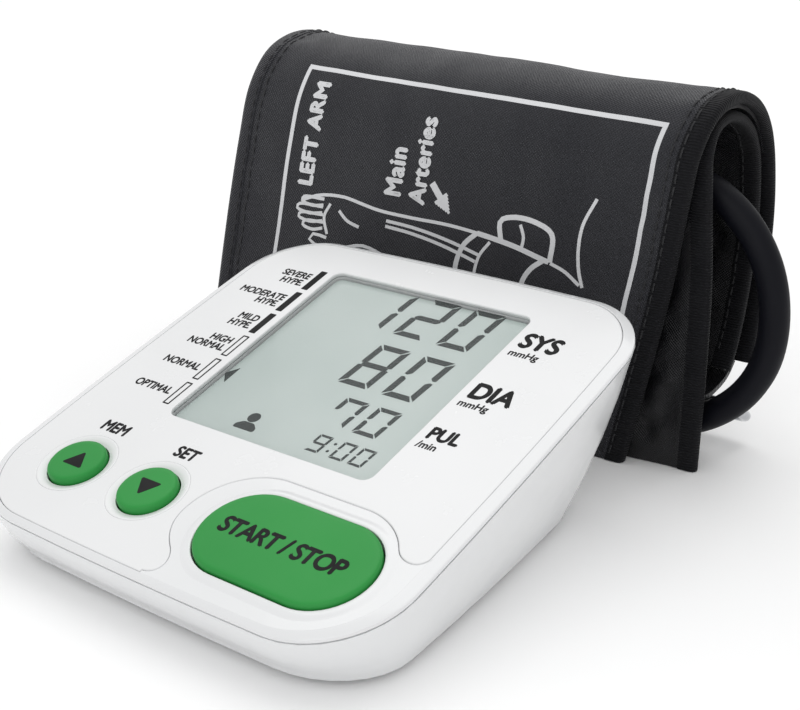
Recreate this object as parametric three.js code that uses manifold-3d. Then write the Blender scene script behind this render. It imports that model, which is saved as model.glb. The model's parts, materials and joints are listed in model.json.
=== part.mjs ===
// An upper-arm blood pressure monitor with its rolled cuff, hose and plug, in millimetres, +Z up.
// The monitor faces -Y, with its display panel rising towards the back; the cuff stands behind it.
import * as THREE from "three";
import { mergeVertices } from "three/addons/utils/BufferGeometryUtils.js";
import Module from "manifold-3d";

const wasm = await Module();
wasm.setup();

// ---------------------------------------------------------------- driving dimensions
// Everything is laid out from the middle of the display, dropped to the table top.
// The part's own origin is the middle of the object's footprint, this far from there.
const origin = new THREE.Vector3(-23.14, 17.39, 0);

const gap = 0.3; // air kept between pieces that would touch
const tilt = THREE.MathUtils.degToRad(18.6); // panel slope, rising towards the back
const panelHeight = 39.6; // table to panel surface, at the middle of the display

// Panel outline, in panel coordinates: u to the right, v up the slope, w out of the surface.
const rim = { halfFront: 62.2, halfBack: 60.8, front: -78.1, back: 46, radiusFront: 22, radiusBack: 19, bow: 1.2 };
const crest = { halfFront: 59.4, halfBack: 58.2, front: -76.7, back: 44, radiusFront: 20, radiusBack: 17, bow: 1.2 };
const bevelDrop = 0.9;
const coverSplit = -1.8; // w of the seam between the two covers
const coverUnder = -3.3; // w of the upper cover's underside
const stepInset = 4.4; // the upper cover steps in by this much below the seam
const wall = 2;

// Footprint of the lower cover, narrowing towards the back.
const foot = { halfFront: 60.4, halfBack: 44.2, front: -68.2, back: 40, radiusFront: 20, radiusBack: 16, bow: 1.2 };
const footHeight = 0.8;
const floorTop = footHeight + wall;

const display = { width: 64, height: 67, corner: 2.5 };
const startKey = { u: 29.9, v: -58.8, half: 10.75, radius: 12.5, top: 1.6 };
const roundKeys = { u: { mem: -39.5, set: -14.7 }, v: -57.3, radius: 7.35, top: 1.1 };

const board = { top: -7.7, thick: 1.6 };
const cell = { radius: 7.25, length: 50.5, pitch: 15.2, rear: 34.8, height: 11.9 };
const bay = { half: 31.2, front: -20, back: 36.6, top: 19.5 };
const roof = bay.top + 0.9;

const screwRadius = 1.3;
const caseScrews = { front_left: [-49, -32], front_right: [49, -32], rear_left: [-44.5, -8], rear_right: [44.5, -8] };
const feet = { front_left: [-44, -54], front_right: [44, -54], rear_left: [-38, 26], rear_right: [38, 26] };

const socket = { y: 22, z: 17, face: -47, bore: 2.9 };
const airLine = { y: 30, z: 30.6 };

const cuffEnds = { left: -89, right: 57 };
const cuffSkew = 0.19; // how far the front flap's edges lean to the left, per mm of drop
const cuffHinge = { y: 106, z: 85 };
const cuffLayers = { shell: [0, 1.3], bladder: [1.6, 2.7], lining: [3, 4], inner: [5, 7.8], tail: [0, 2] };
const patches = { hook: [2.3, 3.2], loop: [3.5, 4.6], left: -60, right: 30, low: 30, high: 72 };
const hoseRadius = 4;

// ---------------------------------------------------------------- helpers
const { sin, cos, PI } = Math;
const vec = (x, y, z) => new THREE.Vector3(x, y, z);
const panelMatrix = new THREE.Matrix4()
  .makeTranslation(0, 0, panelHeight)
  .multiply(new THREE.Matrix4().makeRotationX(tilt));
const onPanel = (u, v, w) => vec(u, v, w).applyMatrix4(panelMatrix);

function solid(geometry) {
  const bare = geometry.index ? geometry.toNonIndexed() : geometry.clone();
  const plain = new THREE.BufferGeometry().setAttribute("position", bare.getAttribute("position"));
  const merged = mergeVertices(plain, 1e-4);
  return new wasm.Manifold(
    new wasm.Mesh({
      numProp: 3,
      vertProperties: merged.attributes.position.array,
      triVerts: new Uint32Array(merged.index.array),
    }),
  );
}

function geometryOf(manifold) {
  const mesh = manifold.getMesh();
  const positions = new Float32Array(mesh.numVert * 3);
  for (let i = 0; i < mesh.numVert; i += 1)
    for (let k = 0; k < 3; k += 1) positions[3 * i + k] = mesh.vertProperties[i * mesh.numProp + k];
  const indexed = new THREE.BufferGeometry();
  indexed.setAttribute("position", new THREE.BufferAttribute(positions, 3));
  indexed.setIndex(new THREE.BufferAttribute(new Uint32Array(mesh.triVerts), 1));
  const flat = indexed.toNonIndexed();
  flat.computeVertexNormals();
  return flat;
}

const join = (first, ...rest) => rest.reduce((sum, piece) => sum.add(piece), first);
const cut = (first, ...rest) => rest.reduce((left, piece) => left.subtract(piece), first);

function box(x0, x1, y0, y1, z0, z1) {
  const geometry = new THREE.BoxGeometry(x1 - x0, y1 - y0, z1 - z0);
  return solid(geometry.translate((x0 + x1) / 2, (y0 + y1) / 2, (z0 + z1) / 2));
}

// A round bar along one axis: `at` gives the two other coordinates in X, Y, Z order.
function rod(axis, radius, from, to, at, sides = 20) {
  const geometry = new THREE.CylinderGeometry(radius, radius, to - from, sides);
  const middle = (from + to) / 2;
  if (axis === "x") return solid(geometry.rotateZ(-PI / 2).translate(middle, at[0], at[1]));
  if (axis === "y") return solid(geometry.translate(at[0], middle, at[1]));
  return solid(geometry.rotateX(PI / 2).translate(at[0], at[1], middle));
}

function prism(shape, z0, z1, curveSegments = 4) {
  const geometry = new THREE.ExtrudeGeometry(shape, { depth: z1 - z0, bevelEnabled: false, curveSegments });
  return solid(geometry.translate(0, 0, z0));
}

// A closed ring of points: a rounded rectangle with slightly bowed sides that may narrow to the back.
function outline(frame, inset = 0) {
  const half = (frame.halfFront + frame.halfBack) / 2 - inset;
  const front = frame.front + inset;
  const back = frame.back - inset;
  const middle = (front + back) / 2;
  const reach = (back - front) / 2;
  const corners = [
    { sx: 1, y: front, s: 1, r: frame.radiusFront - inset, start: -PI / 2 },
    { sx: 1, y: back, s: -1, r: frame.radiusBack - inset, start: 0 },
    { sx: -1, y: back, s: -1, r: frame.radiusBack - inset, start: PI / 2 },
    { sx: -1, y: front, s: 1, r: frame.radiusFront - inset, start: PI },
  ];
  const arcSteps = 8;
  const sideSteps = 4;
  const sharp = [];
  corners.forEach(({ sx, y, s, r, start }) => {
    for (let i = 0; i <= arcSteps; i += 1) {
      const angle = start + (i / arcSteps) * (PI / 2);
      sharp.push([sx * (half - r) + r * cos(angle), y + s * r + r * sin(angle)]);
    }
  });
  const points = [];
  sharp.forEach((point, i) => {
    const next = sharp[(i + 1) % sharp.length];
    const steps = i % (arcSteps + 1) === arcSteps ? sideSteps : 1;
    for (let k = 0; k < steps; k += 1)
      points.push([point[0] + ((next[0] - point[0]) * k) / steps, point[1] + ((next[1] - point[1]) * k) / steps]);
  });
  return points.map(([x, y]) => {
    const across = x / half;
    const along = (y - middle) / reach;
    const share = (y - frame.front) / (frame.back - frame.front);
    const taper = (frame.halfFront + (frame.halfBack - frame.halfFront) * share - inset) / half;
    const bowX = 1 + (frame.bow / half) * (1 - along * along);
    const bowY = 1 + (frame.bow / reach) * (1 - across * across);
    return [x * taper * bowX, middle + (y - middle) * bowY];
  });
}

// Closed body through a stack of equal rings, listed from the bottom up, with flat ends.
function loft(rings) {
  const count = rings[0].length;
  const positions = [];
  const face = (a, b, c) => positions.push(...a, ...b, ...c);
  const middleOf = (ring) =>
    ring.reduce((sum, point) => sum.add(point), new THREE.Vector3()).divideScalar(count);
  for (let k = 0; k + 1 < rings.length; k += 1)
    for (let i = 0; i < count; i += 1) {
      const j = (i + 1) % count;
      face(rings[k][i], rings[k][j], rings[k + 1][j]);
      face(rings[k][i], rings[k + 1][j], rings[k + 1][i]);
    }
  const bottom = rings[0];
  const top = rings[rings.length - 1];
  for (let i = 0; i < count; i += 1) {
    const j = (i + 1) % count;
    face(middleOf(bottom), bottom[j], bottom[i]);
    face(middleOf(top), top[i], top[j]);
  }
  return solid(new THREE.BufferGeometry().setAttribute("position", new THREE.Float32BufferAttribute(positions, 3)));
}

const flatRing = (points, z) => points.map(([x, y]) => vec(x, y, z));
const panelRing = (points, w) => points.map(([u, v]) => onPanel(u, v, w));

function stadium(u, v, half, radius) {
  const shape = new THREE.Shape();
  shape.absarc(u + half, v, radius, -PI / 2, PI / 2, false);
  shape.absarc(u - half, v, radius, PI / 2, (3 * PI) / 2, false);
  return shape;
}

function roundedRect(u0, u1, v0, v1, r) {
  const shape = new THREE.Shape();
  shape.absarc(u1 - r, v0 + r, r, -PI / 2, 0, false);
  shape.absarc(u1 - r, v1 - r, r, 0, PI / 2, false);
  shape.absarc(u0 + r, v1 - r, r, PI / 2, PI, false);
  shape.absarc(u0 + r, v0 + r, r, PI, (3 * PI) / 2, false);
  return shape;
}

// A solid bar of round section along a smooth curve; the circle is drawn in half as many steps as sides.
function tube(points, radius, steps, sides) {
  const section = new THREE.Shape();
  section.absarc(0, 0, radius, 0, 2 * PI, false);
  const path = new THREE.CatmullRomCurve3(points.map(([x, y, z]) => vec(x, y, z)), false, "centripetal");
  return new THREE.ExtrudeGeometry(section, { steps, extrudePath: path, curveSegments: sides / 2, bevelEnabled: false });
}

// A turned solid about an axis through `at`, from [radius, height] pairs that start and end on the axis.
function turned(profile, sides) {
  return new THREE.LatheGeometry(profile.map(([r, h]) => new THREE.Vector2(r, h)), sides);
}

// ---------------------------------------------------------------- materials
const finish = (color, roughness, metalness = 0, more = {}) =>
  new THREE.MeshStandardMaterial({ color, roughness, metalness, ...more });
const materials = {
  casing: finish(0xf4f5f6, 0.28),
  fascia: finish(0xfafbfb, 0.22),
  key: finish(0x3fa653, 0.4),
  lens: finish(0xd8e6e2, 0.05, 0, { transparent: true, opacity: 0.3 }),
  lcd: finish(0xb9c8c4, 0.2),
  board: finish(0x1f6b3a, 0.5),
  moulding: finish(0x2a2b2e, 0.5),
  rubber: finish(0x1d1e20, 0.8),
  steel: finish(0xb9bcc0, 0.3, 1),
  chrome: finish(0xe2e4e6, 0.08, 1),
  copper: finish(0xb87333, 0.35, 1),
  battery: finish(0x2f3d4a, 0.35, 0.3),
  foam: finish(0x55585c, 0.9),
  cloth: finish(0x2b2c30, 0.85),
  bladder: finish(0x3a3c40, 0.6),
  hook: finish(0x17181a, 0.95),
  hose: finish(0x17181d, 0.55),
};

const model = new THREE.Group();
model.position.copy(origin).negate();

function add(name, material, shape, parent = model) {
  const geometry = shape.isBufferGeometry ? shape : geometryOf(shape);
  const mesh = new THREE.Mesh(geometry, materials[material]);
  mesh.name = name;
  parent.add(mesh);
  return mesh;
}

const panel = new THREE.Group();
panel.rotation.x = tilt;
panel.position.z = panelHeight;
model.add(panel);

// ---------------------------------------------------------------- upper cover
const displayHole = roundedRect(
  -display.width / 2 - gap,
  display.width / 2 + gap,
  -display.height / 2 - gap,
  display.height / 2 + gap,
  display.corner + gap,
);
const startHole = stadium(startKey.u, startKey.v, startKey.half, startKey.radius + 0.4);

// The bay left free around the start key, open to the front right corner of the fascia.
function startBay() {
  const shape = new THREE.Shape();
  shape.moveTo(4, -90);
  shape.lineTo(4, -77);
  shape.quadraticCurveTo(7.4, -76.6, 7.4, -73.4);
  shape.quadraticCurveTo(7, -70.6, 4, -68.4);
  shape.quadraticCurveTo(-1.6, -64, -1.6, -58);
  shape.absarc(15.5, -58, 17.1, PI, PI / 2, true);
  shape.absarc(38, -58, 17.1, PI / 2, PI / 5, true);
  shape.quadraticCurveTo(53.8, -50.2, 56.6, -50.2);
  shape.quadraticCurveTo(59.4, -50.2, 60.2, -46.5);
  shape.lineTo(75, -46.5);
  shape.lineTo(75, -90);
  return shape;
}

function fasciaOutline(inset, w0, w1) {
  const ring = outline(crest, inset);
  const shape = new THREE.Shape(ring.map(([u, v]) => new THREE.Vector2(u, v)));
  return cut(prism(shape, w0, w1), prism(startBay(), w0 - 1, w1 + 1));
}

function bossPost([x, y], z0, z1, radius, sides = 16) {
  return rod("z", radius, z0, z1, [x, y], sides);
}

const panelZ = (y, w) => panelHeight + y * Math.tan(tilt) + w / cos(tilt);
const toWorld = (manifold) => solid(geometryOf(manifold).applyMatrix4(panelMatrix));

function upperCover() {
  const plate = loft([
    flatRing(outline(rim, stepInset), coverUnder),
    flatRing(outline(rim, stepInset), coverSplit),
    flatRing(outline(rim, 0), coverSplit),
    flatRing(outline(rim, 0), -bevelDrop),
    flatRing(outline(crest, 0), 0),
  ]);
  const collar = cut(
    prism(stadium(startKey.u, startKey.v, startKey.half, startKey.radius + 2.8), -0.5, 0.5),
    prism(startHole, -1, 1),
  );
  const keyHoles = Object.values(roundKeys.u).map((u) =>
    rod("z", roundKeys.radius + 0.35, -5, 1, [u, roundKeys.v], 24),
  );
  const pierced = cut(
    join(plate, collar),
    fasciaOutline(-gap / 2, -1.5, 2),
    prism(displayHole, -5, 1),
    prism(startHole, -5, 1),
    ...keyHoles,
  );
  const boardBosses = [-38.2, 38.2].map((u) =>
    cut(rod("z", 2.3, -7.4, coverUnder + 0.2, [u, -24], 12), rod("z", 1.3, -8, -4, [u, -24], 12)),
  );
  const inWorld = toWorld(join(pierced, ...boardBosses));
  const posts = Object.values(caseScrews).map((at) => {
    const post = bossPost(at, 6.3, panelZ(at[1], coverUnder + 0.6), 3);
    return cut(post, rod("z", screwRadius + gap, 6, 14.5, at, 12));
  });
  return join(inWorld, ...posts);
}

// ---------------------------------------------------------------- lower cover
function shellRings(inset, bottom, topW) {
  const base = outline(foot, inset);
  const top = outline(rim, inset);
  const low = flatRing(base, bottom);
  const high = panelRing(top, topW);
  const lower = inset > 0 ? low : flatRing(base, 3.4);
  const bulge = 1.2;
  const sides = [0.25, 0.5, 0.75].map((share) =>
    lower.map((point, i) => {
      const middle = point.clone().lerp(high[i], share);
      const out = vec(middle.x, middle.y, 0).normalize();
      return middle.addScaledVector(out, bulge * 4 * share * (1 - share));
    }),
  );
  if (inset > 0) return [low, ...sides, high];
  return [flatRing(outline(foot, 2.4), footHeight), flatRing(outline(foot, 0.7), 1.7), lower, ...sides, high];
}

function lowerCover() {
  const shell = cut(
    loft(shellRings(0, footHeight, coverSplit - gap)),
    loft(shellRings(wall, floorTop, coverSplit + 2)),
  );
  const hull = loft(shellRings(0.5, footHeight, coverSplit - 2));
  const bayBlock = box(
    -bay.half - 3.8,
    bay.half + 3.8,
    bay.front - 1.4,
    bay.back + 1.4,
    floorTop - 0.5,
    roof,
  );
  const pocket = rod("x", 7.5, -80, socket.face, [socket.y, socket.z], 24);
  const pocketBoss = rod("x", 9.5, -60, socket.face + wall, [socket.y, socket.z], 24).intersect(hull);
  const posts = Object.values(caseScrews).map((at) => bossPost(at, footHeight, 6, 3.6).intersect(hull));
  const screwHoles = Object.values(caseScrews).map((at) =>
    join(rod("z", screwRadius + gap, 0, 8, at, 12), rod("z", 3, 0, 4.3, at, 16)),
  );
  const footPockets = Object.values(feet).map((at) => rod("z", 4.3, 0, 1.4, at, 16));
  const doorSlot = box(-33, 33, bay.front - 0.1, 50, floorTop, 4.4);
  const doorway = box(-30.8, 30.8, bay.front - 0.1, 50, 0, floorTop + 1);
  const cellSpace = box(-bay.half, bay.half, bay.front, bay.back, floorTop, bay.top);
  return cut(
    join(shell, bayBlock, pocketBoss, ...posts),
    pocket,
    rod("x", 4.4, -55, -30, [socket.y, socket.z], 20),
    ...screwHoles,
    ...footPockets,
    doorSlot,
    doorway,
    cellSpace,
  );
}

function batteryDoor() {
  const slab = box(-30.4, 30.4, bay.front + 0.3, 39.2, 1, 4.1);
  const flange = box(-32.6, 32.6, bay.front + 0.3, 35.5, 3.1, 4.1);
  const gripCuts = [0, 1, 2, 3].map((i) => box(-9, 9, 26 + 2.6 * i, 27.2 + 2.6 * i, 0, 1.5));
  const relief = box(-28.5, 28.5, bay.front + 2.5, 33.5, 2.6, 5);
  return cut(join(slab, flange), relief, ...gripCuts);
}

// ---------------------------------------------------------------- panel pieces
function facePlate() {
  const dishes = Object.values(roundKeys.u).map((u) => {
    const profile = [
      [0, -2],
      [roundKeys.radius + 0.35, -2],
      [roundKeys.radius + 0.35, -0.8],
      [roundKeys.radius + 2.4, 0],
      [roundKeys.radius + 2.4, 1],
      [0, 1],
    ];
    return solid(turned(profile, 28).rotateX(PI / 2).translate(u, roundKeys.v, 0));
  });
  return cut(fasciaOutline(gap / 2, -1.2, 0), prism(displayHole, -3, 2), ...dishes);
}

function keyCap(ring, top) {
  return loft([
    flatRing(ring(-1.5), -4.6),
    flatRing(ring(-1.5), -3.6),
    flatRing(ring(0), -3.6),
    flatRing(ring(0), top - 0.6),
    flatRing(ring(0.35), top - 0.18),
    flatRing(ring(1), top),
  ]);
}

function ringOf(shape, curveSegments) {
  return shape.getPoints(curveSegments).slice(0, -1).map((point) => [point.x, point.y]);
}

function startButton() {
  const ring = (inset) => ringOf(stadium(startKey.u, startKey.v, startKey.half, startKey.radius - inset), 8);
  const closed = (inset) => ring(inset).concat([[startKey.u - startKey.half, startKey.v - startKey.radius + inset]]);
  const stem = rod("z", 2, -5.4, -4.5, [startKey.u, startKey.v], 12);
  return join(keyCap(closed, startKey.top), stem);
}

function roundButton(u) {
  const ring = (inset) =>
    Array.from({ length: 24 }, (_, i) => {
      const angle = (2 * PI * i) / 24;
      const radius = roundKeys.radius - inset;
      return [u + radius * cos(angle), roundKeys.v + radius * sin(angle)];
    });
  return join(keyCap(ring, roundKeys.top), rod("z", 1.6, -5.4, -4.5, [u, roundKeys.v], 12));
}

function tactSwitch(u, v) {
  const base = board.top + gap;
  return join(
    box(u - 3, u + 3, v - 3, v + 3, base, base + 0.9),
    rod("z", 1.5, base + 0.8, -6.3, [u, v], 12),
  );
}

function lcdFrame() {
  return cut(box(-35.5, 35.5, -37, 37, -7.4, -5.6), box(-31, 31, -34, 31, -8, -5));
}

function mainBoard() {
  const half = 43;
  const rear = 40;
  const shape = new THREE.Shape();
  shape.moveTo(-half + 6, -66);
  shape.lineTo(half - 6, -66);
  shape.lineTo(half, -61);
  shape.lineTo(half, -42);
  shape.lineTo(rear, -39);
  shape.lineTo(rear, -16);
  shape.lineTo(-rear, -16);
  shape.lineTo(-rear, -39);
  shape.lineTo(-half, -42);
  shape.lineTo(-half, -61);
  const slab = prism(shape, board.top - board.thick, board.top);
  return cut(slab, ...[-38.2, 38.2].map((u) => rod("z", 1.4, -12, -5, [u, -24], 12)));
}

function boardScrew(u) {
  const under = board.top - board.thick - gap;
  return join(rod("z", 2.1, under - 1.3, under, [u, -24], 12), rod("z", 0.95, under - 0.1, -4.6, [u, -24], 12));
}

// ---------------------------------------------------------------- pneumatics, above the battery bay
const pump = { head: [-12, 5], motor: [5.3, 31], radius: 8.4, bore: 1.5 };

function pumpHead() {
  const { y, z } = airLine;
  const block = box(pump.head[0], pump.head[1], y - 8, y + 8, z - 8, z + 8);
  const nozzle = rod("x", 1.6, pump.head[0] - 4.5, pump.head[0] + 0.2, [y, z], 12);
  return cut(join(block, nozzle), rod("x", 5.4, pump.head[0] + 9, pump.head[1] + 1, [y, z], 20));
}

function pumpMotor() {
  const { y, z } = airLine;
  const can = rod("x", pump.radius, pump.motor[0], pump.motor[1], [y, z], 24);
  const collar = rod("x", 3, pump.motor[1] - 0.1, pump.motor[1] + 1.6, [y, z], 16);
  return cut(join(can, collar), rod("x", pump.bore, pump.motor[0] - 1, pump.motor[1] - 6, [y, z], 16));
}

function pumpRotor() {
  const { y, z } = airLine;
  const shaft = rod("x", 1.1, pump.head[0] + 10, pump.motor[1] - 7, [y, z], 12);
  return join(shaft, rod("x", 3.6, pump.head[0] + 10, pump.head[0] + 13, [y, z + 1], 16));
}

function pumpCradle() {
  const { y, z } = airLine;
  const block = box(9, 27, y - 8.2, y + 6.5, roof + gap, z - 0.5);
  return cut(block, rod("x", pump.radius + gap, 0, 40, [y, z], 24));
}

const valve = { from: -48, to: -33, radius: 5.2 };

function valveBody() {
  const { y, z } = airLine;
  const body = rod("x", valve.radius, valve.from, valve.to, [y, z], 20);
  const nipple = rod("x", 1.6, valve.to - 0.1, valve.to + 4, [y, z], 12);
  return cut(join(body, nipple), rod("x", 2.2, valve.from - 1, valve.from + 10, [y, z], 16));
}

function valvePlunger() {
  const { y, z } = airLine;
  return join(
    rod("x", 1.7, valve.from - 1.2, valve.from + 9.2, [y, z], 12),
    rod("x", 2.9, valve.from - 2.2, valve.from - 1.1, [y, z], 16),
  );
}

const manifoldX = -22.5;

function airManifold() {
  const { y, z } = airLine;
  return join(
    box(manifoldX - 2.6, manifoldX + 2.6, y - 2.6, y + 2.6, z - 2.6, z + 2.6),
    rod("x", 1.5, manifoldX - 6, manifoldX + 6, [y, z], 12),
    rod("y", 1.5, y - 6.4, y, [manifoldX, z], 12),
    rod("z", 1.5, z - 5.4, z, [manifoldX, y], 12),
  );
}

// Sleeves push over the two nipples they join, with running air inside.
function sleeve(from, to) {
  const { y, z } = airLine;
  return cut(rod("x", 2.7, from, to, [y, z], 12), rod("x", 1.9, from - 1, to + 1, [y, z], 12));
}

const sensor = { u: 0, v: -50 };

function pressureSensor() {
  const top = board.top - board.thick - gap;
  const middle = top - 2;
  return join(
    box(sensor.u - 5, sensor.u + 5, sensor.v - 4, sensor.v + 4, top - 3.6, top),
    rod("x", 1.2, sensor.u + 4.9, sensor.u + 9, [sensor.v, middle], 12),
  );
}

function airSocket() {
  const { y, z, face } = socket;
  const flange = rod("x", 6.6, face - 1.2 - gap, face - gap, [y, z], 24);
  const barrel = rod("x", 4, face - 1, face + 8, [y, z], 20);
  const barb = rod("x", 1.5, face + 7.9, face + 10.8, [y, z], 12);
  return cut(join(flange, barrel, barb), rod("x", socket.bore, face - 5, face + 6.8, [y, z], 20));
}

// ---------------------------------------------------------------- cuff
// Outside of the rolled cuff in its end planes, from the front edge up over the fold to the hinge line.
const leftProfile = [
  [57, 0],
  [57.4, 30],
  [58, 57],
  [59, 76],
  [60.8, 91],
  [66.5, 100.8],
  [75, 105],
  [84.5, 105.4],
  [93.5, 102.8],
  [101, 96],
  [cuffHinge.y, cuffHinge.z],
];
const rightProfile = [
  [71, 0],
  [72, 26],
  [71.5, 51],
  [68, 76],
  [67, 88],
  [71, 96.8],
  [79, 101],
  [87.5, 101],
  [95.5, 98],
  [102, 92.4],
  [cuffHinge.y, cuffHinge.z],
];
const tailProfile = [
  [cuffHinge.y, cuffHinge.z],
  [109, 72],
  [109.5, 58],
  [107.5, 42],
  [104, 24],
];
// The inner wrap runs on behind the tail, down to the sleeve of the metal ring.
const innerTail = [
  [108.4, 72],
  [108.2, 56],
  [105.5, 40],
  [101.5, 28],
  [98, 21.5],
];

function smoothSection(points, count) {
  const curve = new THREE.CatmullRomCurve3(points.map(([y, z]) => vec(0, y, z)), false, "centripetal");
  return Array.from({ length: count + 1 }, (_, i) => {
    const t = i / count;
    const at = curve.getPointAt(t);
    const tangent = curve.getTangentAt(t);
    return { y: at.y, z: at.z, inY: tangent.z, inZ: -tangent.y };
  });
}

// A layer of the roll between two depths below its outside, ruled between the two end sections.
function layer(left, right, [outer, inner], ends, skew) {
  const count = left.length;
  const crestZ = Math.max(...left.map((point) => point.z));
  const crestAt = left.findIndex((point) => point.z === crestZ);
  const lean = (i, z) => (i < crestAt ? -skew * (crestZ - z) : 0);
  const place = (x, depth) => {
    const mix = THREE.MathUtils.lerp;
    return left.map((point, i) => {
      const far = right[i];
      const share = (x + lean(i, point.z) - cuffEnds.left) / (cuffEnds.right - cuffEnds.left);
      const y = mix(point.y + point.inY * depth, far.y + far.inY * depth, share);
      const z = mix(point.z + point.inZ * depth, far.z + far.inZ * depth, share);
      return vec(x + lean(i, point.z), y, Math.max(0, z));
    });
  };
  const [outL, inL] = [place(ends.left, outer), place(ends.left, inner)];
  const [outR, inR] = [place(ends.right, outer), place(ends.right, inner)];
  const positions = [];
  const quad = (a, b, c, d) => positions.push(...a, ...b, ...c, ...a, ...c, ...d);
  for (let i = 0; i + 1 < count; i += 1) {
    quad(outL[i], outR[i], outR[i + 1], outL[i + 1]);
    quad(inL[i], inL[i + 1], inR[i + 1], inR[i]);
    quad(outL[i], outL[i + 1], inL[i + 1], inL[i]);
    quad(outR[i], inR[i], inR[i + 1], outR[i + 1]);
  }
  const last = count - 1;
  quad(outL[0], inL[0], inR[0], outR[0]);
  quad(outL[last], outR[last], inR[last], inL[last]);
  const geometry = new THREE.BufferGeometry();
  geometry.setAttribute("position", new THREE.Float32BufferAttribute(positions, 3));
  return solid(geometry);
}

const foldSteps = 22;
const tailSteps = 8;
const foldLeft = smoothSection(leftProfile, foldSteps);
const foldRight = smoothSection(rightProfile, foldSteps);
const innerLeft = smoothSection(leftProfile.concat(innerTail), foldSteps + tailSteps);
const innerRight = smoothSection(rightProfile.concat(innerTail), foldSteps + tailSteps);
const tail = smoothSection(tailProfile, tailSteps);

// The three layers that end at the hinge line are trimmed level, just above the tail.
function foldLayer(depths, ends) {
  const belowHinge = box(-200, 200, 95, 130, -1, cuffHinge.z + gap);
  return cut(layer(foldLeft, foldRight, depths, ends, cuffSkew), belowHinge);
}

function cuffTail() {
  const ends = { left: cuffEnds.left + 1, right: cuffEnds.right - 1 };
  const aboveHinge = box(-200, 200, 90, 130, cuffHinge.z - gap, 130);
  return cut(layer(tail, tail, cuffLayers.tail, ends, 0), aboveHinge);
}

function patch(left, right, depths) {
  const onPatch = (point) => point.y > 95 && point.z > patches.low && point.z < patches.high;
  return layer(left.filter(onPatch), right.filter(onPatch), depths, patches, 0);
}

// Metal ring sewn in at the inner end: two long bars with round ends, lying back to the table.
const ring = { top: [91, 15.5], low: [103.8, 7.6], wire: 1.5, left: -86, right: 58 };

function dRing() {
  const [y0, z0] = ring.top;
  const [y1, z1] = ring.low;
  const bend = 4;
  const along = (x, t) => vec(x, y0 + (y1 - y0) * t, z0 + (z1 - z0) * t);
  const reach = Math.hypot(y1 - y0, z1 - z0);
  const corners = [
    [ring.left, 0, 1, 1],
    [ring.right, 0, -1, 1],
    [ring.right, 1, -1, -1],
    [ring.left, 1, 1, -1],
  ];
  const bends = corners.map(([x, t, sx, st], i) => {
    const across = along(x, t + (st * bend) / reach);
    const lengthwise = along(x + sx * bend, t);
    const [from, to] = i % 2 === 0 ? [across, lengthwise] : [lengthwise, across];
    return { from, via: along(x, t), to };
  });
  const loop = bends.flatMap(({ from, via, to }) => new THREE.QuadraticBezierCurve3(from, via, to).getPoints(4));
  return closedTube(loop, ring.wire, 8);
}

// A closed wire through the points of a flat loop.
function closedTube(loop, radius, sides) {
  const count = loop.length;
  const normal = loop[0].clone().sub(loop[4]).cross(loop[12].clone().sub(loop[4])).normalize();
  const rings = loop.map((point, i) => {
    const before = loop[(i + count - 1) % count];
    const after = loop[(i + 1) % count];
    const tangent = after.clone().sub(point).normalize().add(point.clone().sub(before).normalize()).normalize();
    const side = normal.clone().cross(tangent).normalize();
    return Array.from({ length: sides }, (_, k) => {
      const angle = (2 * PI * k) / sides;
      return point
        .clone()
        .addScaledVector(side, radius * cos(angle))
        .addScaledVector(normal, radius * sin(angle));
    });
  });
  const positions = [];
  for (let i = 0; i < count; i += 1) {
    const a = rings[i];
    const b = rings[(i + 1) % count];
    for (let k = 0; k < sides; k += 1) {
      const m = (k + 1) % sides;
      positions.push(...a[k], ...a[m], ...b[m], ...a[k], ...b[m], ...b[k]);
    }
  }
  const geometry = new THREE.BufferGeometry();
  geometry.setAttribute("position", new THREE.Float32BufferAttribute(positions, 3));
  const body = solid(geometry);
  return body.volume() < 0 ? flipped(geometry) : geometry;
}

function flipped(geometry) {
  const position = geometry.getAttribute("position");
  for (let i = 0; i < position.count; i += 3) {
    const b = vec(0, 0, 0).fromBufferAttribute(position, i + 1);
    const c = vec(0, 0, 0).fromBufferAttribute(position, i + 2);
    position.setXYZ(i + 1, c.x, c.y, c.z);
    position.setXYZ(i + 2, b.x, b.y, b.z);
  }
  return geometry;
}

// Fabric sleeve that holds the ring's upper bar.
function ringSleeve() {
  const [y, z] = ring.top;
  const outside = rod("x", ring.wire + gap + 1.4, ring.left + 12, ring.right - 12, [y, z], 16);
  return cut(outside, rod("x", ring.wire + gap, ring.left, ring.right, [y, z], 16));
}

const portAt = { x: 30, y: 83, z: 79 };

function hosePort() {
  const { x, y, z } = portAt;
  return join(
    rod("x", 5.4, x - 14, x, [y, z], 16),
    box(x - 17, x - 1, y - 3.6, y - 1, z - 7, z + 7),
  );
}

// ---------------------------------------------------------------- hose and plug
const hoseRoute = [
  [30.3, 83, 79],
  [41, 83, 79],
  [52, 83.2, 76],
  [61.5, 83.6, 69],
  [68.6, 84, 58],
  [71.4, 84.4, 45],
  [69.8, 84.8, 32],
  [63.6, 85.2, 21],
  [54, 85.6, 13],
  [42, 85.9, 8],
  [28, 86, 5.2],
  [10, 86, 4.4],
  [-20, 86, 4.3],
  [-50, 86, 4.3],
  [-66, 86, 4.3],
  [-80.5, 86, 4.3],
  [-97, 82, 4.3],
  [-109.5, 70.5, 4.4],
  [-114, 55, 5],
  [-110, 38.8, 7.4],
  [-100.3, 28, 11.4],
  [-91.5, 23.4, 14.8],
  [-84.5, 22, 16.6],
  [-78.5, 22, 17],
];

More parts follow.
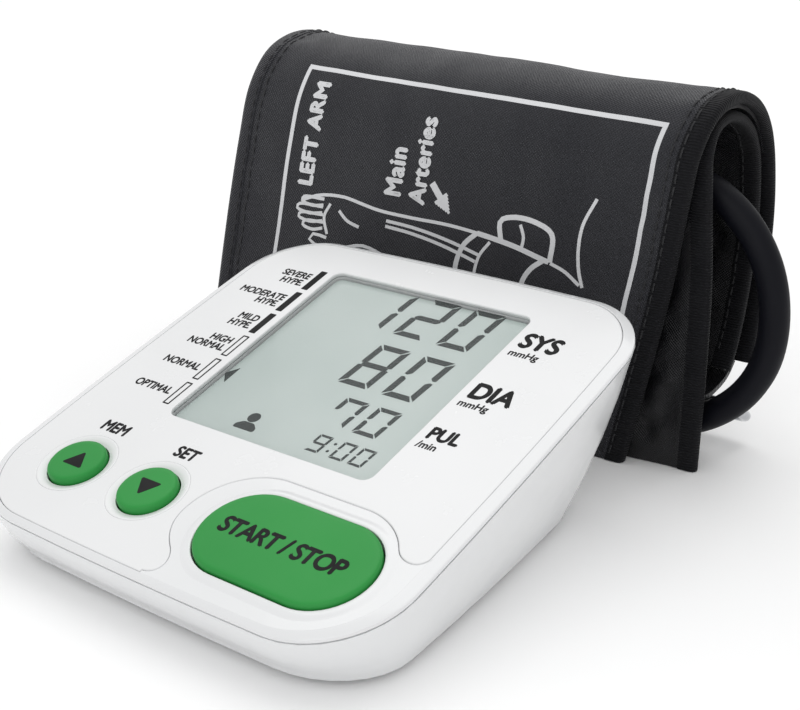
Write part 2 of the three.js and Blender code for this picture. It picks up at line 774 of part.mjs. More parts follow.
function airPlug() {
  const { y, z, face } = socket;
  const stem = rod("x", 2.6, face - 10, face + 6, [y, z], 16);
  const grip = rod("x", 5, face - 20, face - 2.1, [y, z], 20);
  const collar = rod("x", 5.8, face - 8, face - 4, [y, z], 20);
  const neck = rod("x", 4.7, face - 31, face - 19.9, [y, z], 16);
  return cut(join(stem, grip, collar, neck), rod("x", 1.3, face - 9, face + 8, [y, z], 8));
}

// ---------------------------------------------------------------- assembly
add("upper_cover", "casing", upperCover());
add("lower_cover", "casing", lowerCover());
add("battery_door", "casing", batteryDoor());
add("face_plate", "fascia", facePlate(), panel);
add(
  "window_lens",
  "lens",
  prism(
    roundedRect(-display.width / 2, display.width / 2, -display.height / 2, display.height / 2, display.corner),
    -1.8,
    -0.3,
  ),
  panel,
);
add("lcd_glass", "lcd", box(-34, 34, -35.5, 35.5, -5.3, -3.6), panel);
add("lcd_frame", "moulding", lcdFrame(), panel);
add("zebra_strip", "rubber", box(-30, 30, -33.5, -31.3, board.top + gap, -5.6), panel);
add("main_board", "board", mainBoard(), panel);
add("mcu_chip", "moulding", box(16, 26, -56, -46, -11, board.top - board.thick - gap), panel);
add("pressure_sensor", "moulding", pressureSensor(), panel);
add("start_button", "key", startButton(), panel);
add("start_switch", "moulding", tactSwitch(startKey.u, startKey.v), panel);
Object.entries(roundKeys.u).forEach(([name, u]) => {
  add(`${name}_button`, "key", roundButton(u), panel);
  add(`${name}_switch`, "moulding", tactSwitch(u, roundKeys.v), panel);
});
add("board_screw_left", "steel", boardScrew(-38.2), panel);
add("board_screw_right", "steel", boardScrew(38.2), panel);

Object.entries(caseScrews).forEach(([name, at]) => {
  add(`case_screw_${name}`, "steel", join(rod("z", 2.6, 2.2, 4, at, 14), rod("z", screwRadius, 3.9, 13.5, at, 10)));
});
Object.entries(feet).forEach(([name, at]) => {
  add(`rubber_foot_${name}`, "rubber", rod("z", 4, 0, 1.1, at, 20));
});

// Cells lie side by side, their poles alternating; each profile is turned about the cell's own axis.
const cellProfile = [
  [0, 0],
  [cell.radius - 0.6, 0],
  [cell.radius, 0.6],
  [cell.radius, cell.length - 1.8],
  [cell.radius - 0.8, cell.length - 1.1],
  [2.8, cell.length - 1.1],
  [2.8, cell.length],
  [0, cell.length],
];
[-1.5, -0.5, 0.5, 1.5].forEach((place, i) => {
  const mesh = add(`battery_${i + 1}`, "battery", turned(cellProfile, 20));
  const reversed = i % 2 === 1;
  mesh.position.set(place * cell.pitch, reversed ? cell.rear : cell.rear - cell.length, cell.height);
  mesh.rotation.z = reversed ? PI : 0;
});

function contact(x0, x1, atBack, springs) {
  const y = atBack ? bay.back - 0.8 : bay.front + 0.3;
  const plate = box(x0, x1, y, y + 0.5, 6, 17.5);
  const coils = springs.map((x) =>
    atBack ? rod("y", 2.6, y - 0.7, y + 0.1, [x, 11.9], 12) : rod("y", 2.6, y + 0.4, y + 3.2, [x, 11.9], 12),
  );
  return join(plate, ...coils);
}
const cellX = [-22.8, -7.6, 7.6, 22.8];
add("contact_rear_left", "steel", contact(cellX[0] - 6, cellX[1] + 6, true, []));
add("contact_rear_right", "steel", contact(cellX[2] - 6, cellX[3] + 6, true, []));
add("contact_front_plus", "steel", contact(cellX[0] - 6, cellX[0] + 6, false, [cellX[0]]));
add("contact_front_bridge", "steel", contact(cellX[1] - 6, cellX[2] + 6, false, [cellX[1], cellX[2]]));
add("contact_front_minus", "steel", contact(cellX[3] - 6, cellX[3] + 6, false, [cellX[3]]));

add("pump_head", "moulding", pumpHead());
add("pump_motor", "steel", pumpMotor());
add("pump_rotor", "copper", pumpRotor());
add("pump_cradle", "foam", pumpCradle());
add("valve_body", "moulding", valveBody());
add("valve_plunger", "steel", valvePlunger());
add("air_manifold", "moulding", airManifold());
add("pump_tube", "rubber", sleeve(manifoldX + 2.9, pump.head[0] - gap));
add("valve_tube", "rubber", sleeve(valve.to + gap, manifoldX - 2.9));
add("air_socket", "moulding", airSocket());
add("air_plug", "moulding", airPlug());
add("air_hose", "hose", tube(hoseRoute, hoseRadius, 48, 10));

add("cuff_shell", "cloth", foldLayer(cuffLayers.shell, cuffEnds));
add("air_bladder", "bladder", foldLayer(cuffLayers.bladder, { left: -84, right: 51 }));
add("cuff_lining", "cloth", foldLayer(cuffLayers.lining, cuffEnds));
add(
  "cuff_inner_wrap",
  "cloth",
  layer(innerLeft, innerRight, cuffLayers.inner, { left: -88, right: 55.5 }, 0),
);
add("cuff_tail", "cloth", cuffTail());
add("hook_patch", "hook", patch(tail, tail, patches.hook));
add("loop_patch", "cloth", patch(innerLeft, innerRight, patches.loop));
add("d_ring", "chrome", dRing());
add("d_ring_sleeve", "cloth", ringSleeve());
add("hose_port", "rubber", hosePort());

const monitor = new THREE.Group();
monitor.add(model);

export default monitor;
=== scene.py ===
# Looks of an upper-arm blood pressure monitor and its rolled cuff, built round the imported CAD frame.
import json
import math

import bmesh
import bpy
from mathutils import Matrix, Vector, noise

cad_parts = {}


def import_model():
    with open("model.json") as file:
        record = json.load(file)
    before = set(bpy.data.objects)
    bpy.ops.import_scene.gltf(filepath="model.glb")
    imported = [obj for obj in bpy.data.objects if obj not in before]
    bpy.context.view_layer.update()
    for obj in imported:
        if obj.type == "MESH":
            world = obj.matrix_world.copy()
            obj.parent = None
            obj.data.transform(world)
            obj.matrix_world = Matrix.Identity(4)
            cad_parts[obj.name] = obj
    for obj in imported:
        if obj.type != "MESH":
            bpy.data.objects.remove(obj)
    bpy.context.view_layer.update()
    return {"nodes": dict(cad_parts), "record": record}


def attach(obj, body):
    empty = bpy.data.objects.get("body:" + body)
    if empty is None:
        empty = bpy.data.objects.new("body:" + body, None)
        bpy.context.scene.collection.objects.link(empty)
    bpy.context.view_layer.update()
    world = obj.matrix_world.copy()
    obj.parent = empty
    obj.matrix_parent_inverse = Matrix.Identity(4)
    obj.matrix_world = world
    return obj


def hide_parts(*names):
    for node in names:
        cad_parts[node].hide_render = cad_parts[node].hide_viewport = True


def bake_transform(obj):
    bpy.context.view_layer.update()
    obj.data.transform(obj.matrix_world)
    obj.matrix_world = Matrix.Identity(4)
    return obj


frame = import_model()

# ---------------------------------------------------------------- layout, in millimetres
# Lengths are the CAD's own; points are measured from the foot of the display's middle.
ORIGIN = (-23.14, 17.39, 0.0)
TILT = math.radians(18.6)
PANEL_HEIGHT = 39.6
RIM = dict(half_front=62.2, half_back=60.8, front=-78.1, back=46, radius_front=22, radius_back=19, bow=1.2)
CREST = dict(half_front=59.4, half_back=58.2, front=-76.7, back=44, radius_front=20, radius_back=17, bow=1.2)
STEP_INSET = 4.4
DISPLAY = dict(width=64.0, height=67.0, corner=2.5)
START = dict(u=29.9, v=-58.8, half=10.75, radius=12.5, top=1.6)
ROUND_KEYS = dict(mem=-39.5, set=-14.7)
ROUND_V, ROUND_RADIUS, ROUND_TOP = -57.3, 7.35, 1.1
CASE_SCREWS = ((-49, -32), (49, -32), (-44.5, -8), (44.5, -8))
FILM_TOP, FILM_THICK = -1.95, 0.2
CUFF_LEFT, CUFF_RIGHT, CUFF_SKEW = -89.0, 57.0, 0.19
HOSE_RADIUS = 4.0
HOSE_ROUTE = (
    (30.3, 83, 79), (41, 83, 79), (52, 83.2, 76), (61.5, 83.6, 69), (68.6, 84, 58), (71.4, 84.4, 45),
    (69.8, 84.8, 32), (63.6, 85.2, 21), (54, 85.6, 13), (42, 85.9, 8), (28, 86, 5.2), (10, 86, 4.4),
    (-20, 86, 4.3), (-50, 86, 4.3), (-66, 86, 4.3), (-80.5, 86, 4.3), (-97, 82, 4.3), (-109.5, 70.5, 4.4),
    (-114, 55, 5), (-110, 38.8, 7.4), (-100.3, 28, 11.4), (-91.5, 23.4, 14.8), (-84.5, 22, 16.6),
    (-78.5, 22, 17),
)


def world(x, y, z):
    """A layout point, in millimetres, as a point of the row frame, in metres."""
    return Vector((x - ORIGIN[0], y - ORIGIN[1], z - ORIGIN[2])) / 1000


def on_panel(u, v, w):
    """A point of the sloping display panel: u to the right, v up the slope, w out of it."""
    return world(
        u,
        v * math.cos(TILT) - w * math.sin(TILT),
        PANEL_HEIGHT + v * math.sin(TILT) + w * math.cos(TILT),
    )


def lerp(a, b, share):
    return a + (b - a) * share


def smooth(share):
    share = min(1.0, max(0.0, share))
    return share * share * (3 - 2 * share)


# ---------------------------------------------------------------- camera
camera = bpy.data.objects.new("camera", bpy.data.cameras.new("camera"))
bpy.context.scene.collection.objects.link(camera)
camera.location = (0.24154, -0.26812, 0.1611)
camera.rotation_euler = (math.radians(70.32), 0, math.radians(38.98))
camera.data.sensor_width = 36
camera.data.lens = 64.86
camera.data.clip_start = 0.01
bpy.context.scene.camera = camera


# ---------------------------------------------------------------- materials
class Shader:
    """A Principled material and short ways to wire procedural nodes into it."""

    def __init__(self, name, **sockets):
        self.material = bpy.data.materials.new(name)
        self.material.use_nodes = True
        self.tree = self.material.node_tree
        self.out = self.tree.nodes["Principled BSDF"]
        for socket, value in sockets.items():
            self.out.inputs[socket.replace("_", " ")].default_value = value

    def node(self, kind, inputs=(), **settings):
        made = self.tree.nodes.new("ShaderNode" + kind)
        for key, value in settings.items():
            setattr(made, key, value)
        for key, value in dict(inputs).items():
            if isinstance(value, bpy.types.NodeSocket):
                self.tree.links.new(value, made.inputs[key])
            else:
                made.inputs[key].default_value = value
        return made

    def place(self, use_uv=False):
        if use_uv:
            return self.node("UVMap", uv_map="UVMap").outputs[0]
        return self.node("TexCoord").outputs["Object"]

    def math(self, operation, a, b=0.0):
        return self.node("Math", {0: a, 1: b}, operation=operation).outputs[0]

    def noise(self, per_mm, detail=3.0, roughness=0.55, stretch=None):
        at = self.place()
        if stretch:
            at = self.node("Mapping", {"Vector": at, "Scale": stretch}).outputs[0]
        inputs = {"Vector": at, "Scale": per_mm * 1000, "Detail": detail, "Roughness": roughness}
        return self.node("TexNoise", inputs).outputs["Fac"]

    def spread(self, value, low, high, from_low=0.3, from_high=0.7):
        inputs = {"Value": value, "From Min": from_low, "From Max": from_high, "To Min": low, "To Max": high}
        return self.node("MapRange", inputs).outputs[0]

    def colour(self, value, dark, light, from_low=0.3, from_high=0.7):
        share = self.spread(value, 0.0, 1.0, from_low, from_high)
        factor, first, second, result = 0, 6, 7, 2  # the Mix node's sockets for colours
        mixed = self.node("Mix", {factor: share, first: (*dark, 1), second: (*light, 1)}, data_type="RGBA")
        self.tree.links.new(mixed.outputs[result], self.out.inputs["Base Color"])

    def rough(self, value, low, high):
        self.tree.links.new(self.spread(value, low, high), self.out.inputs["Roughness"])

    def bump(self, height, depth_mm, strength=1.0, onto=None):
        inputs = {"Height": height, "Distance": depth_mm / 1000, "Strength": strength}
        made = self.node("Bump", inputs)
        if onto:
            self.tree.links.new(onto, made.inputs["Normal"])
        self.tree.links.new(made.outputs[0], self.out.inputs["Normal"])
        return made.outputs[0]


def moulded(name, dark, light, low, high, grain_per_mm=2.5, grain_mm=0.01, **sockets):
    """Moulded plastic or rubber: slow colour drift, patchy gloss and a fine surface grain."""
    shader = Shader(name, **sockets)
    drift = shader.noise(0.02, detail=2)
    shader.colour(drift, dark, light)
    shader.rough(shader.noise(0.12, detail=4), low, high)
    if grain_mm:
        shader.bump(shader.noise(grain_per_mm, detail=2), grain_mm)
    return shader.material


def metal(name, dark, light, low, high, brush=(1, 1, 1), per_mm=0.8, depth_mm=0.004):
    shader = Shader(name, Metallic=1.0)
    lines = shader.noise(per_mm, detail=4, stretch=brush)
    shader.colour(lines, dark, light)
    shader.rough(lines, low, high)
    shader.bump(lines, depth_mm)
    return shader.material


def woven(
    name, dark, light, pitch_mm, depth_mm,
    gloss=(0.5, 0.68), sheen=0.25, twill=True, shine=0.3, crease_mm=0.4,
):
    """Coated cloth: a diagonal twill or ribs, laid out on the cloth's own flat millimetres."""
    shader = Shader(name, Sheen_Weight=sheen, Sheen_Roughness=0.35, Specular_IOR_Level=shine)
    flat = shader.node("SeparateXYZ", {0: shader.place(use_uv=True)})
    across, along = flat.outputs[0], flat.outputs[1]
    turn = 2 * math.pi / pitch_mm
    if twill:
        first = shader.math("SINE", shader.math("MULTIPLY", shader.math("ADD", across, along), turn))
        second = shader.math("SINE", shader.math("MULTIPLY", shader.math("SUBTRACT", across, along), turn))
    else:
        first = shader.math("SINE", shader.math("MULTIPLY", along, turn))
        second = shader.math("SINE", shader.math("MULTIPLY", across, turn * 0.35))
    height = shader.math("ADD", first, shader.math("MULTIPLY", second, 0.55 if twill else 0.12))
    fibre = shader.noise(1.4, detail=3)
    mixed = shader.math("ADD", shader.math("MULTIPLY", height, 0.13), fibre)
    shader.colour(mixed, dark, light, 0.2, 0.8)
    shader.rough(shader.noise(0.05, detail=3), *gloss)
    creases = shader.bump(shader.noise(0.045, detail=4, roughness=0.6), crease_mm)
    shader.bump(height, depth_mm, 1.0, onto=creases)
    return shader.material


def soft_shine(name, dark, light, low, high, grain_per_mm, grain_mm, shine=0.2):
    """A moulded look with a weak mirror reflection."""
    return moulded(name, dark, light, low, high, grain_per_mm, grain_mm, Specular_IOR_Level=shine)


MATERIALS = {
    "casing": moulded(
        "casing_gloss", (0.735, 0.742, 0.75), (0.76, 0.767, 0.773), 0.2, 0.26, 1.2, 0.001, Coat_Weight=0.3,
    ),
    "fascia": moulded("fascia_gloss", (0.745, 0.75, 0.755), (0.77, 0.775, 0.78), 0.22, 0.28, 1.6, 0.0008),
    "key": soft_shine("key_green", (0.02, 0.25, 0.045), (0.026, 0.28, 0.052), 0.38, 0.5, 3.0, 0.006, 0.25),
    "lcd": moulded("lcd_glass", (0.52, 0.6, 0.575), (0.62, 0.69, 0.665), 0.18, 0.24, 4.0, 0.0),
    "board": moulded("board_mask", (0.012, 0.11, 0.04), (0.02, 0.16, 0.06), 0.3, 0.5, 1.5, 0.01),
    "moulding": moulded("black_moulding", (0.01, 0.01, 0.012), (0.018, 0.018, 0.02), 0.42, 0.6, 3.0, 0.015),
    "rubber": moulded("rubber", (0.012, 0.012, 0.013), (0.022, 0.022, 0.023), 0.65, 0.85, 2.0, 0.03),
    "battery": moulded("battery_sleeve", (0.02, 0.035, 0.06), (0.035, 0.055, 0.085), 0.25, 0.38, 2.0, 0.004),
    "foam": moulded("cell_foam", (0.07, 0.075, 0.08), (0.13, 0.135, 0.14), 0.85, 0.98, 1.2, 0.25),
    "bladder": moulded("bladder_sheet", (0.035, 0.036, 0.04), (0.06, 0.061, 0.066), 0.5, 0.7, 1.0, 0.03),
    "steel": metal("steel", (0.46, 0.47, 0.49), (0.6, 0.61, 0.63), 0.25, 0.4, (6, 1, 1)),
    "chrome": metal("chrome", (0.42, 0.43, 0.45), (0.55, 0.56, 0.58), 0.05, 0.14, (1, 1, 1), 0.3, 0.002),
    "copper": metal("copper", (0.62, 0.29, 0.16), (0.78, 0.42, 0.25), 0.25, 0.42, (1, 6, 6)),
    "cloth": woven("cuff_cloth", (0.0115, 0.012, 0.0155), (0.0255, 0.026, 0.0325), 0.95, 0.09),
    "binding": woven(
        "binding_tape", (0.003, 0.003, 0.004), (0.0105, 0.0105, 0.0125), 0.75, 0.12, (0.6, 0.75), 0.04,
        twill=False, shine=0.14,
    ),
    "lining": woven(
        "cuff_lining_cloth", (0.003, 0.003, 0.004), (0.009, 0.009, 0.011), 0.8, 0.05, (0.27, 0.4), 0.03,
        crease_mm=2.5,
    ),
    "hook": moulded("hook_tape", (0.006, 0.006, 0.007), (0.018, 0.018, 0.02), 0.85, 0.95, 1.6, 0.3),
    "loop": moulded(
        "loop_pile", (0.01, 0.01, 0.012), (0.028, 0.028, 0.032), 0.9, 1.0, 1.1, 0.35, Sheen_Weight=0.5,
    ),
    "hose": soft_shine(
        "hose_rubber", (0.0018, 0.002, 0.0045), (0.0035, 0.0038, 0.007), 0.45, 0.55, 1.5, 0.008, 0.15,
    ),
    "ink": soft_shine("black_ink", (0.003, 0.003, 0.0035), (0.006, 0.006, 0.0065), 0.5, 0.65, 4.0, 0.0),
    "segment": soft_shine("lcd_segment", (0.01, 0.011, 0.012), (0.018, 0.02, 0.021), 0.45, 0.55, 4.0, 0.0),
    "print": moulded("cuff_print", (0.6, 0.605, 0.62), (0.72, 0.725, 0.74), 0.6, 0.75, 1.2, 0.03),
    "thread": moulded("thread", (0.007, 0.007, 0.0085), (0.018, 0.018, 0.021), 0.6, 0.8, 3.0, 0.05),
}
# The pane's pale grey-green base colour is a painted reflection: at alpha 0.1 it lays a faint even veil over
# the display, standing in for the glass's sheen, which alpha weakens.
lens = Shader("window_lens", Roughness=0.05, Alpha=0.1, Base_Color=(0.25, 0.29, 0.28, 1))
lens.bump(lens.noise(0.03, detail=1), 0.02)
MATERIALS["lens"] = lens.material
SLOT_OF = dict.fromkeys(("binding", "lining", "print", "thread"), "cloth")
SLOT_OF.update(ink="fascia", segment="lcd")


# ---------------------------------------------------------------- mesh helpers
def piece(name, points, faces, look, body="monitor", uvs=None, replaces=(), angle=35):
    """Adds a mesh piece that rides on a body, with its look and the CAD nodes it stands for."""
    mesh = bpy.data.meshes.new(name)
    mesh.from_pydata([tuple(p) for p in points], [], faces)
    mesh.validate()
    return dress(name, mesh, look, body, uvs, replaces, angle)


def dress(name, mesh, look, body="monitor", uvs=None, replaces=(), angle=35):
    obj = bpy.data.objects.new(name, mesh)
    bpy.context.scene.collection.objects.link(obj)
    mesh.materials.clear()
    mesh.materials.append(MATERIALS[look])
    if uvs:
        layer = mesh.uv_layers.new(name="UVMap")
        for loop in mesh.loops:
            layer.data[loop.index].uv = uvs[loop.vertex_index]
    mesh.polygons.foreach_set("use_smooth", [True] * len(mesh.polygons))
    mesh.set_sharp_from_angle(angle=math.radians(angle))
    SLOT_OF.get(look, look)
    if body:
        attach(obj, body)
    if replaces:
        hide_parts(*replaces)
    return obj


def strip_faces(rows, columns, first=0):
    """Quads between successive closed rings of points."""
    faces = []
    for i in range(rows - 1):
        for j in range(columns):
            k = (j + 1) % columns
            a = first + i * columns
            faces.append((a + j, a + k, a + columns + k, a + columns + j))
    return faces


class Build:
    """Gathers several closed shells into one mesh."""

    def __init__(self):
        self.points = []
        self.faces = []

    def loft(self, rings, loop=False):
        first = len(self.points)
        count = len(rings[0])
        for ring in rings:
            self.points.extend(ring)
        self.faces.extend(strip_faces(len(rings), count, first))
        last = first + (len(rings) - 1) * count
        if loop:
            for j in range(count):
                k = (j + 1) % count
                self.faces.append((last + j, last + k, first + k, first + j))
            return
        self.faces.append(tuple(first + j for j in reversed(range(count))))
        self.faces.append(tuple(last + j for j in range(count)))

    def mesh(self, mesh, place):
        first = len(self.points)
        self.points.extend(place(*v.co) for v in mesh.vertices)
        self.faces.extend(tuple(first + i for i in p.vertices) for p in mesh.polygons)


def outline(size, inset=0.0, arc=16, side=8):
    """A rounded rectangle with slightly bowed sides that narrows to the back."""
    half = (size["half_front"] + size["half_back"]) / 2 - inset
    front, back = size["front"] + inset, size["back"] - inset
    middle, reach = (front + back) / 2, (back - front) / 2
    front_radius, back_radius = size["radius_front"] - inset, size["radius_back"] - inset
    corners = (
        (1, front, 1, front_radius, -math.pi / 2),
        (1, back, -1, back_radius, 0.0),
        (-1, back, -1, back_radius, math.pi / 2),
        (-1, front, 1, front_radius, math.pi),
    )
    sharp = []
    for sx, y, s, r, begin in corners:
        for i in range(arc + 1):
            a = begin + i / arc * math.pi / 2
            sharp.append((sx * (half - r) + r * math.cos(a), y + s * r + r * math.sin(a)))
    points = []
    for i, (x, y) in enumerate(sharp):
        nx, ny = sharp[(i + 1) % len(sharp)]
        steps = side if i % (arc + 1) == arc else 1
        points += [(lerp(x, nx, k / steps), lerp(y, ny, k / steps)) for k in range(steps)]
    shaped = []
    for x, y in points:
        share = (y - size["front"]) / (size["back"] - size["front"])
        taper = (lerp(size["half_front"], size["half_back"], share) - inset) / half
        bow_x = 1 + size["bow"] / half * (1 - ((y - middle) / reach) ** 2)
        bow_y = 1 + size["bow"] / reach * (1 - (x / half) ** 2)
        shaped.append((x * taper * bow_x, middle + (y - middle) * bow_y))
    return shaped


def panel_ring(points, w):
    return [on_panel(u, v, w) for u, v in points]


def stadium(u, v, half, radius, arc=24):
    points = []
    for sx, begin in ((1, -math.pi / 2), (-1, math.pi / 2)):
        for i in range(arc + 1):
            a = begin + i / arc * math.pi
            points.append((u + sx * half + radius * math.cos(a), v + radius * math.sin(a)))
    return points


def start_ring(inset, arc=24):
    """The start key's outline, drawn in by an inset or out by a negative one."""
    return stadium(START["u"], START["v"], START["half"], START["radius"] - inset, arc)


def circle(u, v, radius, count=64):
    turns = [2 * math.pi * i / count for i in range(count)]
    return [(u + radius * math.cos(a), v + radius * math.sin(a)) for a in turns]


def rounded_rect(u0, u1, v0, v1, r):
    arc = 10
    points = []
    corners = ((u1 - r, v0 + r, -90), (u1 - r, v1 - r, 0), (u0 + r, v1 - r, 90), (u0 + r, v0 + r, 180))
    for cu, cv, begin in corners:
        for i in range(arc + 1):
            a = math.radians(begin + 90 * i / arc)
            points.append((cu + r * math.cos(a), cv + r * math.sin(a)))
    return points


def evaluated_mesh(obj):
    """The mesh of a curve or text object, which is then removed."""
    bpy.context.scene.collection.objects.link(obj)
    graph = bpy.context.evaluated_depsgraph_get()
    graph.update()
    mesh = bpy.data.meshes.new_from_object(obj.evaluated_get(graph))
    bpy.data.objects.remove(obj)
    return mesh


def plate_mesh(loops, thick, edge, shrink=0.0):
    """A flat plate with rounded edges, its middle plane at height 0; the first loop is its outside."""
    curve = bpy.data.curves.new("plate", "CURVE")
    curve.dimensions = "2D"
    curve.fill_mode = "BOTH"
    curve.extrude = thick / 2 - edge
    curve.bevel_depth = edge
    curve.bevel_resolution = 2
    curve.offset = -edge - shrink
    for loop in loops:
        spline = curve.splines.new("POLY")
        spline.points.add(len(loop) - 1)
        for point, (u, v) in zip(spline.points, loop):
            point.co = (u, v, 0, 1)
        spline.use_cyclic_u = True
    return evaluated_mesh(bpy.data.objects.new("plate", curve))


def text_mesh(words, size, bold=0.0, thick=0.03, align="CENTER", squeeze=1.0, spacing=1.0):
    """Raised ink lettering, its baseline on the X axis and its underside at height 0.

    Bold strokes come from copies shifted by `bold` along each axis, each a hair above the last.
    """
    curve = bpy.data.curves.new("words", "FONT")
    curve.body = words
    curve.size = size
    curve.extrude = thick / 2
    curve.align_x = align
    curve.space_character = spacing
    plain = evaluated_mesh(bpy.data.objects.new("words", curve))
    plain.transform(Matrix.Translation((0, 0, thick / 2)) @ Matrix.Diagonal((squeeze, 1, 1, 1)))
    gathered = bmesh.new()
    shifts = ((-bold, 0), (bold, 0), (0, -bold), (0, bold)) if bold else ((0, 0),)
    for layer, (x, y) in enumerate(shifts):
        copy = plain.copy()
        copy.transform(Matrix.Translation((x, y, 0.004 * layer)))
        gathered.from_mesh(copy)
        bpy.data.meshes.remove(copy)
    gathered.to_mesh(plain)
    gathered.free()
    return plain


def even_curve(route, count):
    """Evenly spaced points and tangents on the smooth centripetal curve through a route, and its length."""
    route = [Vector(p) for p in route]
    ends = [2 * route[0] - route[1], *route, 2 * route[-1] - route[-2]]
    per_span = 40
    fine = []
    for i in range(len(route) - 1):
        p0, p1, p2, p3 = ends[i:i + 4]
        t1 = math.sqrt((p1 - p0).length)
        t2 = t1 + math.sqrt((p2 - p1).length)
        t3 = t2 + math.sqrt((p3 - p2).length)
        for k in range(per_span + (i == len(route) - 2)):
            t = lerp(t1, t2, k / per_span)
            a1 = p0.lerp(p1, t / t1)
            a2 = p1.lerp(p2, (t - t1) / (t2 - t1))
            a3 = p2.lerp(p3, (t - t2) / (t3 - t2))
            b1, b2 = a1.lerp(a2, t / t2), a2.lerp(a3, (t - t1) / (t3 - t1))
            fine.append(b1.lerp(b2, (t - t1) / (t2 - t1)))
    reach = [0.0]
    for a, b in zip(fine, fine[1:]):
        reach.append(reach[-1] + (b - a).length)
    points, at = [], 0
    for i in range(count):
        want = reach[-1] * i / (count - 1)
        while at < len(reach) - 2 and reach[at + 1] < want:
            at += 1
        share = (want - reach[at]) / ((reach[at + 1] - reach[at]) or 1.0)
        points.append(fine[at].lerp(fine[at + 1], min(1.0, share)))
    tangents = []
    for i in range(count):
        tangents.append((points[min(i + 1, count - 1)] - points[max(i - 1, 0)]).normalized())
    return points, tangents, reach[-1]


def tube_rings(points, tangents, radius, sides, up=(0, 1, 0)):
    """Round rings square to a line; the frame is carried along, so the tube never twists."""
    side = Vector(up).cross(tangents[0]).normalized()
    rings = []
    for at, along in zip(points, tangents):
        side = (side - side.dot(along) * along).normalized()
        other = along.cross(side)
        turns = [2 * math.pi * k / sides for k in range(sides)]
        rings.append([at + radius * (math.cos(a) * side + math.sin(a) * other) for a in turns])
    return rings


# ---------------------------------------------------------------- hose and plug
def turned_x(build, profile, x, y, z):
    """A turned solid about the X axis through y, z, from pairs of distance along X and radius."""
    build.loft([[world(x + along, a, b) for a, b in circle(y, z, radius, 40)] for along, radius in profile])


def air_plug():
    y, z, face = 22, 17, -47
    build = Build()
    profile = [(-31, 1.0), (-31, 4.3), (-30.6, 4.7), (-20.4, 4.7), (-20, 5.0), (-19.4, 5.15)]
    for rib in range(7):
        start = -18.6 + 1.5 * rib
        profile += [(start, 5.15), (start + 0.25, 4.75), (start + 0.75, 4.75), (start + 1.0, 5.15)]
    profile += [(-7.9, 5.15), (-7.8, 5.5), (-7.5, 5.8), (-4.5, 5.8), (-4.2, 5.5), (-4.1, 5.0)]
    profile += [(-2.4, 5.0), (-2.1, 4.7), (-2.1, 2.6), (1.6, 2.6), (1.8, 2.3), (2.6, 2.3), (2.8, 2.6)]
    profile += [(5.6, 2.6), (6, 2.2), (6, 1.3)]
    turned_x(build, profile, face, y, z)
    return piece(
        "air_plug_grip", build.points, build.faces, "moulding", "plug", replaces=["air_plug"], angle=28,
    )


def air_hose(plug):
    line, tangents, length = even_curve(HOSE_ROUTE, 170)
    build = Build()
    build.loft(tube_rings([world(*p) for p in line], tangents, HOSE_RADIUS / 1000, 24))
    hose = piece("hose", build.points, build.faces, "hose", body=None, replaces=["air_hose"], angle=60)
    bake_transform(hose)


air_hose(air_plug())

# ---------------------------------------------------------------- display panel
def upper_cover():
    build = Build()
    skirt = ((STEP_INSET, -3.3), (STEP_INSET, -1.8), (0.3, -1.8), (0.08, -1.72), (0, -1.5), (0, -1.1))
    rings = [panel_ring(outline(RIM, inset), w) for inset, w in skirt]
    low, high = outline(RIM), outline(CREST)
    for share, w in ((0.05, -0.93), (0.15, -0.79), (0.5, -0.45), (0.85, -0.11), (0.94, -0.035), (1.0, 0.0)):
        between = [(lerp(a[0], b[0], share), lerp(a[1], b[1], share)) for a, b in zip(low, high)]
        rings.append(panel_ring(between, w))
    for inset, w in ((0.12, -0.08), (0.15, -0.3), (0.15, -1.5), (6.0, -1.5), (6.0, -3.3)):
        rings.append(panel_ring(outline(CREST, inset), w))
    build.loft(rings, loop=True)
    hole = 0.4
    openings = [
        rounded_rect(-32.3, 32.3, -33.8, 33.8, DISPLAY["corner"] + 0.3),
        start_ring(-hole),
    ]
    keys = [circle(u, ROUND_V, ROUND_RADIUS + 0.35) for u in ROUND_KEYS.values()]
    floor = plate_mesh([outline(CREST, 5.9), *openings, *keys], 1.8, 0.05)
    build.mesh(floor, lambda u, v, w: on_panel(u, v, w - 2.4))
    bay = plate_mesh([bay_loop(-0.12), openings[1]], 2.9, 0.3)
    build.mesh(bay, lambda u, v, w: on_panel(u, v, w - 1.45))
    collar = [(0.4, -0.6), (0.4, 0.3), (0.5, 0.44), (0.75, 0.5), (1.35, 0.5), (1.7, 0.43), (2.3, 0.2)]
    collar += [(2.75, 0.03), (3.1, -0.04), (3.1, -0.6)]
    build.loft([panel_ring(start_ring(-out), w) for out, w in collar], loop=True)
    for x, y in CASE_SCREWS:
        top = PANEL_HEIGHT + y * math.tan(TILT) - 2.9
        post = ((1.6, 14.5), (1.6, 6.3), (3, 6.3), (3, top))
        build.loft([[world(px, py, z) for px, py in circle(x, y, r, 32)] for r, z in post])
    piece("upper_cover_shell", build.points, build.faces, "casing", replaces=["upper_cover"])


SEAM = (
    ((4, -90), (4, -77)),
    ((4, -77), (7.4, -76.6), (7.4, -73.4)),
    ((7.4, -73.4), (7, -70.6), (4, -68.4)),
    ((4, -68.4), (-1.6, -64), (-1.6, -58)),
    (15.5, -58, 17.1, 180, 90),
    (38, -58, 17.1, 90, 36),
    ((51.834, -47.949), (53.8, -50.2), (56.6, -50.2)),
    ((56.6, -50.2), (59.4, -50.2), (60.2, -46.5)),
    ((60.2, -46.5), (75, -46.5)),
)


